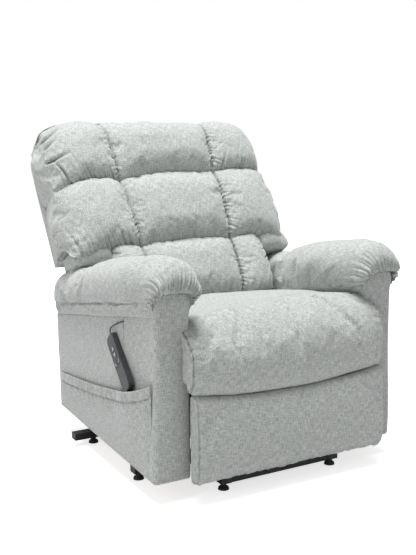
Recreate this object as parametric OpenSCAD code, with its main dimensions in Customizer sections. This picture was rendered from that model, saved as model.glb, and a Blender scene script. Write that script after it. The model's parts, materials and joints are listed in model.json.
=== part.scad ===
// Lift recliner chair: a standing base of steel tube, a four-bar lift, a seat unit with padded arms,
// a two-stage legrest and a reclining back in three rows of channelled pillows.
// Millimetres. Z is up, the sitter faces -Y, the sitter's right is -X, and the origin is on the
// floor under the middle of the chair. A pair of numbers is a point [y, z] in the side view.

/* [Arms] */
// Width across the outer arm panels
body_w = 850; // [780:5:1040]
// Width of an arm at its front panel
arm_w = 116; // [96:2:140]
// Front face of the arms, forward of the middle
arm_front = 481; // [400:1:560]
// Rear edge of the arms, behind the middle
arm_rear = 283; // [240:1:340]
// Height of the panel's lower edge at the front
hem_front = 63; // [55:1:80]
// Height of the panel's lower edge at the rear
hem_rear = 88; // [60:1:110]
// Height of the seam under the arm pad at the front
seam_front = 542; // [500:1:600]
// Height of the seam under the arm pad at the rear
seam_rear = 419; // [380:1:520]
// Rise of the arm pad over its seam
pad_rise = 158; // [120:1:190]
// How far the arm pad stands proud of the panel, at the side and at the front
pad_overhang = 17; // [8:1:25]
// Thickness of an upholstered panel
panel_t = 18; // [12:1:24]

/* [Seat] */
// Height of the seat at its front edge
seat_h = 548; // [480:1:600]
// Slope of the seat down to the back, in degrees
seat_slope = 8.6; // [4:0.1:12]
// How far the seat's lip stands forward of the arms
lip_reach = 70; // [40:1:90]
// Lower edge of the lip over the legrest, in the middle
lip_z = 322; // [300:1:350]
// Height of the deck under the seat cushion, at its front
deck_z = 412; // [395:1:440]

/* [Back] */
// Lean of the back from upright, in degrees
back_lean = 33; // [20:1:38]
// Foot of the back's front face, at the rear of the seat
back_foot = [6, 470];
// Half width of the back over the arms
back_half = 425; // [380:1:440]
// Height of the bottom row of pillows, along the back
row_low = 225; // [190:1:250]
// Height of the middle row
row_mid = 275; // [230:1:300]
// Height of the top row
row_top = 228; // [200:1:260]
// How far the pillows stand out between their seams
crest = 62; // [40:1:80]
// Depth of the back behind the seams, to its outer panel
back_depth = 183.5; // [160:0.5:200]

/* [Legrest] */
// Front face of the legrest, forward of the middle
legrest_front = 552; // [500:1:600]
// Thickness of the padded legrest
legrest_t = 55; // [45:1:60]
// Height of the legrest's lower edge
legrest_z = 62; // [66:1:90]
// How far the legrest overlaps each arm's front panel
legrest_lap = 20; // [5:1:40]

/* [Base] */
// Width of a frame tube
tube_w = 34; // [30:1:40]
// Height of a frame tube
tube_h = 23; // [20:1:30]
// Wall of a frame tube
tube_wall = 2; // [1.5:0.5:3]
// Height of the rubber feet
foot_h = 22; // [18:1:28]
// Distance of each long rail from the middle
rail_x = 194; // [170:1:220]
// Places of the front, middle and rear cross tubes and of the rails' rear ends
cross_y = [-466, -268, 101.5, 240];
// Half widths of the front, middle and rear cross tubes
cross_half = [215, 395, 447];

/* [Lift] */
// Front pivot of the guide links on the base
guide_pivot = [-434, 122];
// Front pivot of the lift arms on the base
arm_pivot = [-388, 150];
// Length between the pivots of a guide link
guide_len = 300; // [280:1:320]
// Length between the pivots of a lift arm
lift_len = 417; // [400:1:440]
// Angle of the guide links at rest, in degrees
guide_angle = 5.3;
// Angle of the lift arms at rest, in degrees
lift_angle = 8.2;

/* [Handset] */
// Length of the handset
handset_len = 185; // [170:1:200]
// Width of the handset
handset_w = 56; // [46:1:60]
// Thickness of the handset
handset_t = 17; // [14:1:19]
// Lean of the handset from upright, in degrees
handset_lean = 43; // [30:1:55]

/* [Hidden] */
$fn = 48;

// Clearances: a soft piece or panel to what carries it, a pin in its bore, links side by side
seat_gap = 0.3;
pin_gap = 0.05;
link_gap = 1;

// Steel sizes
bolt_r = 8;
plate_t = 6;
link_t = 8;
eye_r = 20;
rail_tube = 30;
torque_r = 18;
fork_x = 8;
eye_x = 7.5;
rod_r = 7;
lug_x = rail_x + 2;
guide_x = lug_x + plate_t + link_gap;
lift_x = lug_x - link_gap - link_t;
back_plate_x = lug_x + plate_t + link_gap;

// Heights of the base and of the seat unit's rails
tube_top = foot_h + tube_h;
rail_z = 290;
rail_top = rail_z + rail_tube;
rail_front = -440;
rail_back = 230;

// Side view of the lift: where the chair hangs on the two pairs of arms
function polar(r, a) = [r * cos(a), r * sin(a)];
chair_front_pivot = guide_pivot + polar(guide_len, guide_angle);
chair_rear_pivot = arm_pivot + polar(lift_len, lift_angle);

// The three linear motors: pivot of the housing and pin of the rod, in the side view
lift_motor = [[101, 77], arm_pivot + polar(64, 75)];
back_pivot = [84, 443];
back_crank_r = 75;
back_motor = [[-250, 290], back_pivot + polar(back_crank_r, -70)];
leg_pivot = [-322, 255];
leg_crank_r = 40;
leg_crank_angle = -43;
leg_motor = [[40, 262], leg_pivot + polar(leg_crank_r, leg_crank_angle)];
back_motor_x = -90;
leg_motor_x = 90;

// Legrest chain: knee and ankle pivots of each side's two links
leg_knee = [-308, 121];
leg_ankle = [-487, 283];
leg_link_x = [226, 235];
leg_link_t = 6;
leg_link_r = 13;
leg_bolt_r = 5;

// Half widths that follow from the arms
outer_x = body_w / 2;
inner_x = outer_x - arm_w;
arm_x = outer_x - arm_w / 2;
seat_half = inner_x - 3;
lip_half = inner_x + 26;
legrest_half = inner_x + legrest_lap;
lower_back_half = inner_x - 9;

function mix(a, b, f) = a + (b - a) * f;
function clamp01(f) = min(max(f, 0), 1);
function ease(f) = let (c = clamp01(f)) c * c * (3 - 2 * c);
function spow(v, e) = sign(v) * pow(abs(v), e);
function along_arm(front, rear, y) = mix(front, rear, (y + arm_front) / (arm_rear + arm_front));
function hem_at(y) = along_arm(hem_front, hem_rear, y);
function seam_at(y) = along_arm(seam_front, seam_rear, y);
function seat_at(y) = seat_h - (y + arm_front) * tan(seat_slope);

module both_sides() {
    children();
    mirror([1, 0, 0]) children();
}

// A child on the sitter's left as drawn, or mirrored to the right
module on_side(left) {
    if (left) children();
    else mirror([1, 0, 0]) children();
}

// A side-view profile, drawn in [y, z], made w thick from x outwards
module side_profile(x, w) {
    translate([x, 0, 0]) rotate([90, 0, 90]) linear_extrude(w) children();
}

module dot(p, r) {
    translate(p) circle(r);
}

// A flat bar with round ends between two points; its shank is a hair narrower than the ends
module bar(p, q, r) {
    run = q - p;
    dot(p, r);
    dot(q, r);
    translate(p) rotate(atan2(run[1], run[0])) translate([0, 0.05 - r]) square([norm(run), 2 * r - 0.1]);
}

module pin(p, r, x0, x1) {
    translate([x0, p[0], p[1]]) rotate([0, 90, 0]) cylinder(h = x1 - x0, r = r);
}

// A bolt that is flush in its lug at x0 and carries a nut past the moving link, which ends at x1
module bolt(p, r, x0, x1) {
    way = sign(x1 - x0);
    nut = [x1 + way * link_gap / 2, x1 + way * 6];
    pin(p, r, min(x0, x1 + way), max(x0, x1 + way));
    pin(p, r + 5, min(nut), max(nut));
}

// A rectangular tube along X or Y, from its lower corner
module tube_x(from, len, w, h) {
    translate(from) difference() {
        cube([len, w, h]);
        translate([-1, tube_wall, tube_wall]) cube([len + 2, w - 2 * tube_wall, h - 2 * tube_wall]);
    }
}

module tube_y(from, len, w, h) {
    translate(from) difference() {
        cube([w, len, h]);
        translate([tube_wall, -1, tube_wall]) cube([w - 2 * tube_wall, len + 2, h - 2 * tube_wall]);
    }
}

// A closed solid through rings of equally many points; its ends close on their middle points
module loft(rings) {
    n = len(rings[0]);
    m = len(rings);
    middle = function (r) [for (k = [0:2]) mix(min([for (p = r) p[k]]), max([for (p = r) p[k]]), 0.5)];
    points = [for (r = rings) each r, middle(rings[0]), middle(rings[m - 1])];
    walls = [for (i = [0:m - 2], j = [0:n - 1]) each
        let (a = i * n + j, b = i * n + (j + 1) % n) [[a, b, b + n], [a, b + n, a + n]]];
    ends = [for (j = [0:n - 1]) each
        let (k = (j + 1) % n) [[n * m, k, j], [n * m + 1, (m - 1) * n + j, (m - 1) * n + k]]];
    polyhedron(points, concat(walls, ends));
}

// ---------------------------------------------------------------- standing base

module base_rail(left) {
    color("#2b2c2e") on_side(left) {
        front = cross_y[0] - tube_w / 2;
        tube_y([rail_x - tube_w / 2, front, foot_h], cross_y[3] - front, tube_w, tube_h);
        side_profile(lug_x, plate_t) difference() {
            union() {
                bar(guide_pivot, arm_pivot, eye_r);
                translate([guide_pivot[0] - eye_r, tube_top]) square([2 * eye_r + 40, guide_pivot[1] - tube_top]);
            }
            dot(guide_pivot, bolt_r + pin_gap);
            dot(arm_pivot, bolt_r + pin_gap);
        }
    }
}

module base_rail_left() { base_rail(true); }
module base_rail_right() { base_rail(false); }

// One cross tube, cut where it meets the rails: a middle length and a wing on each side
module base_cross(i) {
    y = cross_y[i] - tube_w / 2;
    inside = rail_x - tube_w / 2;
    outside = rail_x + tube_w / 2;
    tube_x([-inside, y, foot_h], 2 * inside, tube_w, tube_h);
    if (cross_half[i] > outside + tube_w)
        both_sides() tube_x([outside, y, foot_h], cross_half[i] - outside, tube_w, tube_h);
}

module base_cross_front() { color("#2b2c2e") base_cross(0); }
module base_cross_middle() { color("#2b2c2e") base_cross(1); }

module base_cross_rear() {
    color("#2b2c2e") {
        base_cross(2);
        both_sides() motor_lug(lift_motor[0], fork_x);
    }
}

// An upright lug on the rear cross tube for the lift motor's pin
module motor_lug(p, x) {
    side_profile(x, plate_t) difference() {
        union() {
            dot(p, 13);
            translate([p[0] - 13, tube_top]) square([26, p[1] - tube_top]);
        }
        dot(p, 6 + pin_gap);
    }
}

module foot(x, y) {
    translate([x, y, 0]) {
        cylinder(h = 7, r1 = 17, r2 = 15);
        translate([0, 0, 7]) cylinder(h = foot_h - 7, r = 9);
    }
}

module base_feet() {
    color("#1d1d1f") both_sides() {
        foot(rail_x, cross_y[0]);
        foot(rail_x, cross_y[3] - tube_w);
        foot(cross_half[1] - tube_w / 2, cross_y[1]);
        foot(cross_half[2] - 2 * tube_w, cross_y[2]);
    }
}

// A plug: a cap with a stub inside the tube
module plug_x(x, y) {
    stub = 10;
    inset = tube_wall + seat_gap / 2;
    translate([x - stub, y - tube_w / 2 + inset, foot_h + inset])
        cube([stub, tube_w - 2 * inset, tube_h - 2 * inset]);
    translate([x, y - tube_w / 2, foot_h]) cube([2.5, tube_w, tube_h]);
}

module tube_plugs() {
    color("#3a3b3d") both_sides() {
        plug_x(cross_half[1], cross_y[1]);
        plug_x(cross_half[2], cross_y[2]);
        translate([rail_x, cross_y[3], 0]) rotate([0, 0, 90]) plug_x(0, 0);
        translate([rail_x, cross_y[0] - tube_w / 2, 0]) rotate([0, 0, -90]) plug_x(0, 0);
    }
}

module base_bolts() {
    color("#b9bcc0") {
        both_sides() {
            bolt(guide_pivot, bolt_r, lug_x, guide_x + link_t);
            bolt(arm_pivot, bolt_r, lug_x + plate_t, lift_x);
        }
        pin(lift_motor[0], 6, -16, 16);
    }
}

// ---------------------------------------------------------------- lift linkage

module lift_arm(left) {
    color("#3b3d40") on_side(left) side_profile(lift_x, link_t) difference() {
        bar(arm_pivot, chair_rear_pivot, eye_r);
        dot(arm_pivot, bolt_r + pin_gap);
        dot(chair_rear_pivot, bolt_r + pin_gap);
    }
}

module lift_arm_left() { lift_arm(true); }
module lift_arm_right() { lift_arm(false); }

module lift_torque_tube() {
    crank = lift_motor[1];
    color("#3b3d40") {
        difference() {
            pin(arm_pivot, torque_r, -lift_x, lift_x);
            pin(arm_pivot, torque_r - 3.4, -lift_x - 1, lift_x + 1);
        }
        both_sides() side_profile(fork_x, plate_t) difference() {
            bar(arm_pivot, crank, 14);
            dot(arm_pivot, torque_r - 1.5);
        }
        pin(crank, 6, -fork_x - plate_t, fork_x + plate_t);
    }
}

module guide_link(left) {
    color("#3b3d40") on_side(left) side_profile(guide_x, link_t) difference() {
        union() {
            bar(guide_pivot, chair_front_pivot, 13);
            dot(guide_pivot, 16);
            dot(chair_front_pivot, 16);
        }
        dot(guide_pivot, bolt_r + pin_gap);
        dot(chair_front_pivot, bolt_r + 0.5);
    }
}

module guide_link_left() { guide_link(true); }
module guide_link_right() { guide_link(false); }

// ---------------------------------------------------------------- linear motors

// Turns a child that lies along +X into the side view, from the housing's pivot to the rod's pin
module along_motor(m, x) {
    run = m[1] - m[0];
    translate([x, m[0][0], m[0][1]]) rotate([atan2(run[1], run[0]), 0, 0]) rotate([0, 0, 90]) children();
}

module rod_x(r, x0, x1) {
    translate([x0, 0, 0]) rotate([0, 90, 0]) cylinder(h = x1 - x0, r = r);
}

// Housing: rear eye, gear case with the motor can beside it, and the outer tube
module motor_housing(m, x, tube_len, can) {
    color("#232427") along_motor(m, x) difference() {
        union() {
            rotate([90, 0, 0]) translate([0, 0, -eye_x]) cylinder(h = 2 * eye_x, r = 11);
            translate([0, -6, -8]) cube([24, 12, 16]);
            translate([22, -14, -15]) cube([52, 28, 30]);
            rod_x(14, 74, tube_len);
            rod_x(16.5, tube_len - 14, tube_len);
            translate([48, 0, can * 15]) can_body(can);
        }
        rotate([90, 0, 0]) translate([0, 0, -eye_x - 1]) cylinder(h = 2 * eye_x + 2, r = 6 + pin_gap);
        rod_x(10, 96, tube_len - 14);
        rod_x(rod_r + pin_gap, 96, tube_len + 1);
    }
}

// The motor itself, lying along the tube on its upper or lower side
module can_body(can) {
    translate([-20, 0, can * 18]) rotate([0, 90, 0]) cylinder(h = 78, r = 17);
    translate([-20, -10, min(0, can * 4) - 2]) cube([36, 20, 8]);
}

// Rod: a plain shaft in the tube, and a front eye round the crank's pin with room to move
module motor_rod(m, x, tube_len, eye, stroke) {
    len = norm(m[1] - m[0]);
    color("#c4c7cb") along_motor(m, x) difference() {
        union() {
            rod_x(rod_r, max(100, tube_len - stroke - 60), len - eye);
            translate([len, 0, 0]) rotate([90, 0, 0]) translate([0, 0, -eye_x]) cylinder(h = 2 * eye_x, r = eye + 5);
        }
        translate([len, 0, 0]) rotate([90, 0, 0]) translate([0, 0, -eye_x - 1]) cylinder(h = 2 * eye_x + 2, r = eye);
    }
}

module lift_motor_housing() { motor_housing(lift_motor, 0, 330, 1); }
module lift_motor_rod() { motor_rod(lift_motor, 0, 330, 11.5, 60); }
module back_motor_housing() { motor_housing(back_motor, back_motor_x, 250, -1); }
module back_motor_rod() { motor_rod(back_motor, back_motor_x, 250, 9.5, 0); }
module legrest_motor_housing() { motor_housing(leg_motor, leg_motor_x, 250, 1); }
module legrest_motor_rod() { motor_rod(leg_motor, leg_motor_x, 250, 14, 60); }

// ---------------------------------------------------------------- steel of the seat unit

module seat_rail(left) {
    color("#3b3d40") on_side(left) {
        tube_y([rail_x + 5 - rail_tube / 2, rail_front, rail_z], rail_back - rail_front, rail_tube, rail_tube);
        side_profile(lug_x, plate_t) difference() {
            union() {
                hang_plate(chair_front_pivot);
                hang_plate(chair_rear_pivot);
            }
            dot(chair_front_pivot, bolt_r + pin_gap);
            dot(chair_rear_pivot, bolt_r + pin_gap);
        }
        side_profile(lug_x, plate_t) difference() {
            union() {
                dot(back_pivot, eye_r);
                translate([back_pivot[0] - eye_r, rail_top]) square([2 * eye_r, back_pivot[1] - rail_top]);
            }
            dot(back_pivot, bolt_r + pin_gap);
        }
        leg_bracket();
    }
}

// A lug that hangs from the rail's underside to a pivot
module hang_plate(p) {
    dot(p, eye_r);
    translate([p[0] - eye_r, p[1]]) square([2 * eye_r, rail_z - p[1]]);
}

// The bracket outside the rail that carries the legrest's rear links
module leg_bracket() {
    x = rail_x + 5 + rail_tube / 2;
    side_profile(x, leg_link_x[0] - link_gap / 2 - x) difference() {
        union() {
            dot(leg_pivot, 16);
            translate([leg_pivot[0] - 16, leg_pivot[1]]) square([32, rail_top - leg_pivot[1]]);
        }
        dot(leg_pivot, 12 + pin_gap);
    }
}

module seat_rail_left() { seat_rail(true); }
module seat_rail_right() { seat_rail(false); }

// A pair of plates of one side-view profile, on either side of a motor's eye
module fork(x) {
    for (x0 = [x + fork_x, x - fork_x - plate_t]) side_profile(x0, plate_t) children();
}

// Two tubes between the rails, each with the lugs of one motor
module seat_cross_tubes() {
    inside = rail_x + 5 - rail_tube / 2;
    color("#3b3d40") {
        tube_x([-inside, back_motor[0][0] - 50, rail_z], 2 * inside, rail_tube, rail_tube);
        tube_x([-inside, leg_motor[0][0] - rail_tube / 2, rail_z], 2 * inside, rail_tube, rail_tube);
        fork(back_motor_x) difference() {
            union() {
                dot(back_motor[0], 12);
                translate([back_motor[0][0] - 20, back_motor[0][1]]) square([20, 12]);
            }
            dot(back_motor[0], 6 + pin_gap);
        }
        fork(leg_motor_x) difference() {
            union() {
                dot(leg_motor[0], 12);
                translate([leg_motor[0][0] - 12, leg_motor[0][1]]) square([24, rail_z - leg_motor[0][1]]);
            }
            dot(leg_motor[0], 6 + pin_gap);
        }
    }
}

module seat_bolts() {
    color("#b9bcc0") {
        both_sides() {
            bolt(chair_front_pivot, bolt_r, lug_x, guide_x + link_t);
            bolt(chair_rear_pivot, bolt_r, lug_x + plate_t, lift_x);
            bolt(back_pivot, bolt_r, lug_x, back_plate_x + plate_t);
        }
        pin(back_motor[0], 6, back_motor_x - 15, back_motor_x + 15);
        pin(leg_motor[0], 6, leg_motor_x - 15, leg_motor_x + 15);
    }
}

// ---------------------------------------------------------------- seat

box_x = seat_half - 16;
box_board = 18;
box_front = -arm_front + 14;
box_rear = -44;
deck_fall = 0.075;

function deck_at(y) = deck_z - (y - box_front) * deck_fall;

// Plywood box: side boards that follow the deck, front and rear boards, and blocks on the rails
module seat_box() {
    color("#c9a878") {
        both_sides() {
            side_profile(box_x - box_board, box_board) polygon([
                [box_front, rail_top], [box_rear, rail_top], [box_rear, deck_at(box_rear)], [box_front, deck_at(box_front)]]);
            for (y = [-420, -200, -100]) {
                translate([rail_x - 8, y, rail_top]) cube([box_x - box_board - rail_x + 8, 50, 18]);
                translate([box_x, y, rail_top]) cube([inner_x - seat_gap - box_x, 50, 40]);
            }
        }
        translate([-box_x + box_board, box_front, deck_z - 58]) cube([2 * (box_x - box_board), box_board, deck_at(box_front + box_board) - spring_wire - seat_gap - deck_z + 58]);
        translate([-box_x + box_board, box_rear - box_board, deck_at(box_rear) - 16 - spring_wire - seat_gap])
            cube([2 * (box_x - box_board), box_board, 16]);
    }
}

// Zigzag springs of bent wire, hooked from the front board to the rear board
spring_count = 7;
spring_pitch = 26;
spring_w = 44;
spring_wire = 4;

module spring_strip(loops) {
    for (i = [0:loops - 1]) {
        side = i % 2 == 0 ? 1 : -1;
        translate([(i + 0.5) * spring_pitch, side * (spring_w - spring_pitch) / 2]) difference() {
            circle(spring_pitch / 2 + spring_wire / 2);
            circle(spring_pitch / 2 - spring_wire / 2);
            translate([-spring_pitch, side > 0 ? -2 * spring_pitch : 0]) square([2 * spring_pitch, 2 * spring_pitch]);
        }
        translate([i * spring_pitch - spring_wire / 2, -(spring_w - spring_pitch) / 2])
            square([spring_wire, spring_w - spring_pitch]);
    }
    translate([loops * spring_pitch - spring_wire / 2, -(spring_w - spring_pitch) / 2])
        square([spring_wire, spring_w - spring_pitch]);
}

module seat_springs() {
    run = box_rear - box_front;
    loops = floor((run - 12) / spring_pitch);
    step = 2 * (box_x - box_board - spring_w / 2) / (spring_count);
    color("#8d9094") for (i = [0:spring_count - 1])
        translate([(i - (spring_count - 1) / 2) * step, box_front + 6, deck_at(box_front + 6) - spring_wire])
            rotate([-atan(deck_fall), 0, 0]) rotate([0, 0, 90]) linear_extrude(spring_wire) spring_strip(loops);
}

// Seat cushion: a T with a deep rolled lip in front of the arms and a crowned top
cushion_rear = -8;
lip_front = arm_front + lip_reach;
lip_side_rise = 24;
lip_roll = [100, 95];

function seat_ring(y) =
    let (f = clamp01((y + lip_front) / lip_roll[0]),
         roll = sqrt(1 - pow(1 - f, 2)),
         r = clamp01((cushion_rear - y) / 30),
         tail = mix(0.55, 1, sqrt(1 - pow(1 - r, 2))),
         lip = y < -arm_front - 1,
         half = (lip ? lip_half * mix(0.93, 1, roll) : seat_half),
         top = seat_at(y) - (1 - roll) * lip_roll[1] - (1 - tail) * 60,
         low = lip ? lip_z + (1 - sqrt(1 - pow(1 - clamp01((y + lip_front) / 46), 2))) * 26 : deck_at(y) + seat_gap)
    [for (k = [0:23]) let (a = 360 * k / 24, c = spow(cos(a), 0.35), s = spow(sin(a), 0.5), x = half * c,
         u = clamp01(1 - pow(x / half, 2)),
         rise = (lip ? lip_side_rise * pow(abs(x) / half, 3) : 0))
        [x, y, s > 0 ? mix(mix(low, top, 0.5), top + 14 * u - 6, s) : max(low + rise, mix(mix(low, top, 0.5), low + rise - (lip ? 0 : 8), -s))]];

module seat_cushion() {
    stations = [-lip_front, -lip_front + 4, -lip_front + 14, -lip_front + 30, -lip_front + 50, -arm_front - 2,
        -arm_front - 0.6, -arm_front + 14, -arm_front + 34, -arm_front + 60, -arm_front + 140, -250, -170, -100, cushion_rear - 34,
        cushion_rear - 16, cushion_rear - 6, cushion_rear];
    color("#bcc3c0") loft([for (y = stations) seat_ring(y)]);
}

// ---------------------------------------------------------------- arms

// Plywood web, sloping top board, posts and bottom board, hidden between the liner and the panel
module arm_frame(left) {
    x0 = inner_x + panel_t * 0.7 + seat_gap;
    x1 = outer_x - panel_t - seat_gap;
    front = -arm_front + panel_t + seat_gap;
    rear = arm_rear - 4;
    low = 14;
    color("#c9a878") on_side(left) difference() {
        side_profile(x0, x1 - x0) polygon([[front, hem_at(front) + low], [rear, hem_at(rear) + low],
            [rear, seam_at(rear) - seat_gap], [front, seam_at(front) - seat_gap]]);
        side_profile(x0 - 1, x1 - x0 - 11) polygon([[front + 40, hem_at(front) + 60], [rear - 40, hem_at(rear) + 50],
            [rear - 40, seam_at(rear) - 24], [front + 40, seam_at(front) - 24]]);
        if (!left) lead_slit();
    }
}

module arm_frame_left() { arm_frame(true); }
module arm_frame_right() { arm_frame(false); }

// Padded lining of the arm's inner side
module arm_liner(left) {
    front = -arm_front + panel_t + seat_gap;
    color("#b7beba") on_side(left) side_profile(inner_x, panel_t * 0.7) polygon([
        [front, hem_at(front) + 8], [arm_rear - 2, hem_at(arm_rear) + 8],
        [arm_rear - 2, seam_at(arm_rear) - seat_gap], [front, seam_at(front) - seat_gap]]);
}

module arm_liner_left() { arm_liner(true); }
module arm_liner_right() { arm_liner(false); }

// Outer side panel: straight hem, sloping top under the pad, edges turned round
module side_panel(left) {
    front = -arm_front + panel_t + seat_gap;
    color("#b0b5ad") on_side(left) difference() {
        side_profile(outer_x - panel_t, panel_t) polygon([[front, hem_at(front)], [arm_rear, hem_at(arm_rear)],
            [arm_rear, seam_at(arm_rear) - seat_gap], [front, seam_at(front) - seat_gap]]);
        if (!left) lead_slit();
    }
}

module side_panel_left() { side_panel(true); }
module side_panel_right() { side_panel(false); }

// Front panel with an arched top
arch_top = 604;

module arm_front(left) {
    r = arm_w / 2 - 3;
    color("#b7beba") on_side(left) translate([arm_x, -arm_front + panel_t, 0]) rotate([90, 0, 0])
        linear_extrude(panel_t) {
            translate([-arm_w / 2, hem_front]) square([arm_w, arch_top - r - hem_front]);
            intersection() {
                translate([0, arch_top - r * 1.08]) scale([1.05, 1.08]) circle(r);
                translate([-arm_w / 2, arch_top - r - 1]) square([arm_w, 2 * r]);
            }
        }
}

module arm_front_left() { arm_front(true); }
module arm_front_right() { arm_front(false); }

// Arm pad: a crowned roll that swells over the panel, hangs over the arch and narrows to the rear
pad_front = arm_front + 26;
pad_outer = outer_x + pad_overhang;
pad_tuck = 6;

// The pad is fullest a little behind its front, and falls away to the rear
function pad_crest(y) = 20 - 0.068 * abs(y + 337);

function pad_ring(y) =
    let (front = clamp01((y + pad_front) / 70),
         nose = sqrt(1 - pow(1 - front, 2)),
         rear = clamp01((arm_rear + 2 - y) / 60),
         tail = sqrt(1 - pow(1 - rear, 2)),
         hood = y < -arm_front + panel_t + 0.5,
         low = hood ? arch_top + 2 : seam_at(y) + seat_gap,
         top = max(low + 12, seam_at(max(y, -arm_front + 60)) + pad_rise + pad_crest(y) - (1 - nose) * 62 - (1 - tail) * 58),
         inner = inner_x - 31 * (1 - ease((y + 200) / 170)) * mix(0.6, 1, nose),
         outer = pad_outer - (1 - tail) * 22 - (1 - nose) * 16,
         mid = mix(low, top, hood ? 0.4 : 0.46),
         xm = (inner + outer) / 2,
         half = (outer - inner) / 2,
         foot = arm_w / 2 - pad_tuck)
    [for (k = [0:19]) let (a = 360 * k / 20, c = cos(a), s = sin(a))
        s >= 0 ? [xm + half * spow(c, 0.8), y, mid + (top - mid) * spow(s, 0.8)]
               : let (d = pow(-s, 0.55), w = mix(half, min(half, foot), pow(d, 3)), cx = mix(xm, arm_x, pow(d, 3)))
                 [cx + w * spow(c, 0.5), y, mid - (mid - low) * d]];

module arm_pad(left) {
    lap = -arm_front + panel_t;
    stations = [-pad_front, -pad_front + 3, -pad_front + 10, -pad_front + 22, lap + 0.2, lap + 1, lap + 24,
        lap + 60, -300, -200, -100, 0, 100, 180, arm_rear - 58, arm_rear - 34, arm_rear - 14, arm_rear - 3, arm_rear + 2];
    color("#b7beba") on_side(left) loft([for (y = stations) pad_ring(y)]);
}

module arm_pad_left() { arm_pad(true); }
module arm_pad_right() { arm_pad(false); }

// ---------------------------------------------------------------- rear panel, pocket and electrics

rear_panel_t = 8;
rear_panel_top = 322;

module rear_panel() {
    color("#8f9590") translate([-inner_x + seat_gap, arm_rear - rear_panel_t, hem_rear + 6]) difference() {
        cube([2 * (inner_x - seat_gap), rear_panel_t, rear_panel_top - hem_rear - 6]);
        translate([inner_x - seat_gap - 16, -1, 34]) cube([32, rear_panel_t + 2, 20]);
    }
}

// Power supply behind the rear panel, with its mains inlet in the panel's window
module power_supply() {
    y1 = arm_rear - rear_panel_t;
    z0 = hem_rear + 20;
    color("#26272a") difference() {
        union() {
            translate([-80, y1 - 48, z0]) cube([160, 47.7, 58]);
            translate([-15.7, y1 - 1, hem_rear + 40.3]) cube([31.4, rear_panel_t + 1, 19.4]);
        }
        translate([-11, arm_rear - 14, hem_rear + 43]) cube([22, 15, 14]);
    }
}

// Control box on the rear cross tube, with the plugs of the motors, the handset and the supply
module control_box() {
    y0 = leg_motor[0][0] + rail_tube / 2 + seat_gap;
    color("#26272a") {
        translate([-60, y0, rail_z + 2]) cube([120, 60, 26]);
        for (i = [0:4]) translate([-50 + i * 22, y0 + 60, rail_z + 8]) cube([12, 14, 12]);
    }
}

// Side pocket: a sheet of fabric sewn on at its foot and ends, bulging at the sagging top edge
pocket_front = -452;
pocket_rear = 262;
pocket_sheet = 3;
pocket_swell = 8;
handset_bulge = handset_t - 3;
pocket_cols = 20;
pocket_rows = 7;

// Edge of the pocket: higher at the front, and drawn down a little where the handset rests
function pocket_top(y) = let (f = (y - pocket_front) / (pocket_rear - pocket_front))
    mix(352, 219, f) - 28 * sin(180 * pow(f, 0.6));

function pocket_point(i, j, sheet) =
    let (f = i / pocket_cols, v = j / pocket_rows, y = mix(pocket_front, pocket_rear, f),
         low = hem_at(y) + 10, z = mix(low, pocket_top(y), v),
         wide = pow(sin(180 * f), 0.6),
         swell = (pocket_swell * wide + handset_bulge * exp(-pow((y - handset_foot[0]) / 90, 2)) * min(1, wide * 2)) * ease(v * 1.4))
    [-outer_x - seat_gap - swell - sheet, y, z];

module side_pocket() {
    n = pocket_cols + 1;
    m = pocket_rows + 1;
    inner = [for (j = [0:pocket_rows], i = [0:pocket_cols]) pocket_point(i, j, 0)];
    outer = [for (j = [0:pocket_rows], i = [0:pocket_cols]) pocket_point(i, j, pocket_sheet)];
    o = n * m;
    faces = concat(
        [for (j = [0:m - 2], i = [0:n - 2]) each let (a = j * n + i)
            [[a, a + 1, a + n + 1], [a, a + n + 1, a + n], [o + a, o + a + n + 1, o + a + 1], [o + a, o + a + n, o + a + n + 1]]],
        [for (i = [0:n - 2]) each let (t = (m - 1) * n + i)
            [[i, o + i, o + i + 1], [i, o + i + 1, i + 1], [t, t + 1, o + t + 1], [t, o + t + 1, o + t]]],
        [for (j = [0:m - 2]) each let (l = j * n, r = j * n + n - 1)
            [[l, l + n, o + l + n], [l, o + l + n, o + l], [r, o + r, o + r + n], [r, o + r + n, r + n]]]);
    color("#b0b5ad") polyhedron([each inner, each outer], faces);
}

// ---------------------------------------------------------------- handset

// The handset leans in the plane of the side panel, its lower end in the pocket
handset_foot = [-350, 310];
handset_x = -outer_x - seat_gap - 0.4;
shell_t = 9;
button_size = [19, 18];
button_rows = [[141, 0], [119, 0], [94, -11.5], [94, 11.5]];

// Handset frame: X along the handset from its foot, Y across, Z out of its face
module on_handset() {
    translate([handset_x, handset_foot[0], handset_foot[1]]) rotate([-handset_lean, 0, 0])
        rotate([0, -90, 0]) children();
}

module handset_outline(inset) {
    r = 15;
    w = handset_w - 2 * inset;
    for (x = [inset + r, handset_len - inset - r], y = [r - w / 2, w / 2 - r]) translate([x, y]) circle(r);
    translate([inset + r, -w / 2]) square([handset_len - 2 * (inset + r), w]);
    translate([inset, r - w / 2]) square([handset_len - 2 * inset, w - 2 * r]);
}

module button_outline(inset) {
    square([button_size[0] - 2 * inset, button_size[1] - 2 * inset], center = true);
}

module handset_shell() {
    color("#303134") on_handset() difference() {
        union() {
            linear_extrude(2) handset_outline(1.5);
            translate([0, 0, 2]) linear_extrude(shell_t - 2) handset_outline(0);
        }
        translate([0, 0, 3]) linear_extrude(shell_t) handset_outline(2.5);
    }
}

module handset_face() {
    color("#37383b") on_handset() translate([0, 0, shell_t]) difference() {
        union() {
            linear_extrude(handset_t - shell_t - 1.5) handset_outline(0);
            translate([0, 0, handset_t - shell_t - 1.5]) linear_extrude(1.5) handset_outline(1.5);
        }
        translate([0, 0, -1]) linear_extrude(handset_t - shell_t - 2) handset_outline(2.5);
        for (p = button_rows) translate([p[0], p[1], -1]) linear_extrude(handset_t) button_outline(0);
    }
}

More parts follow.
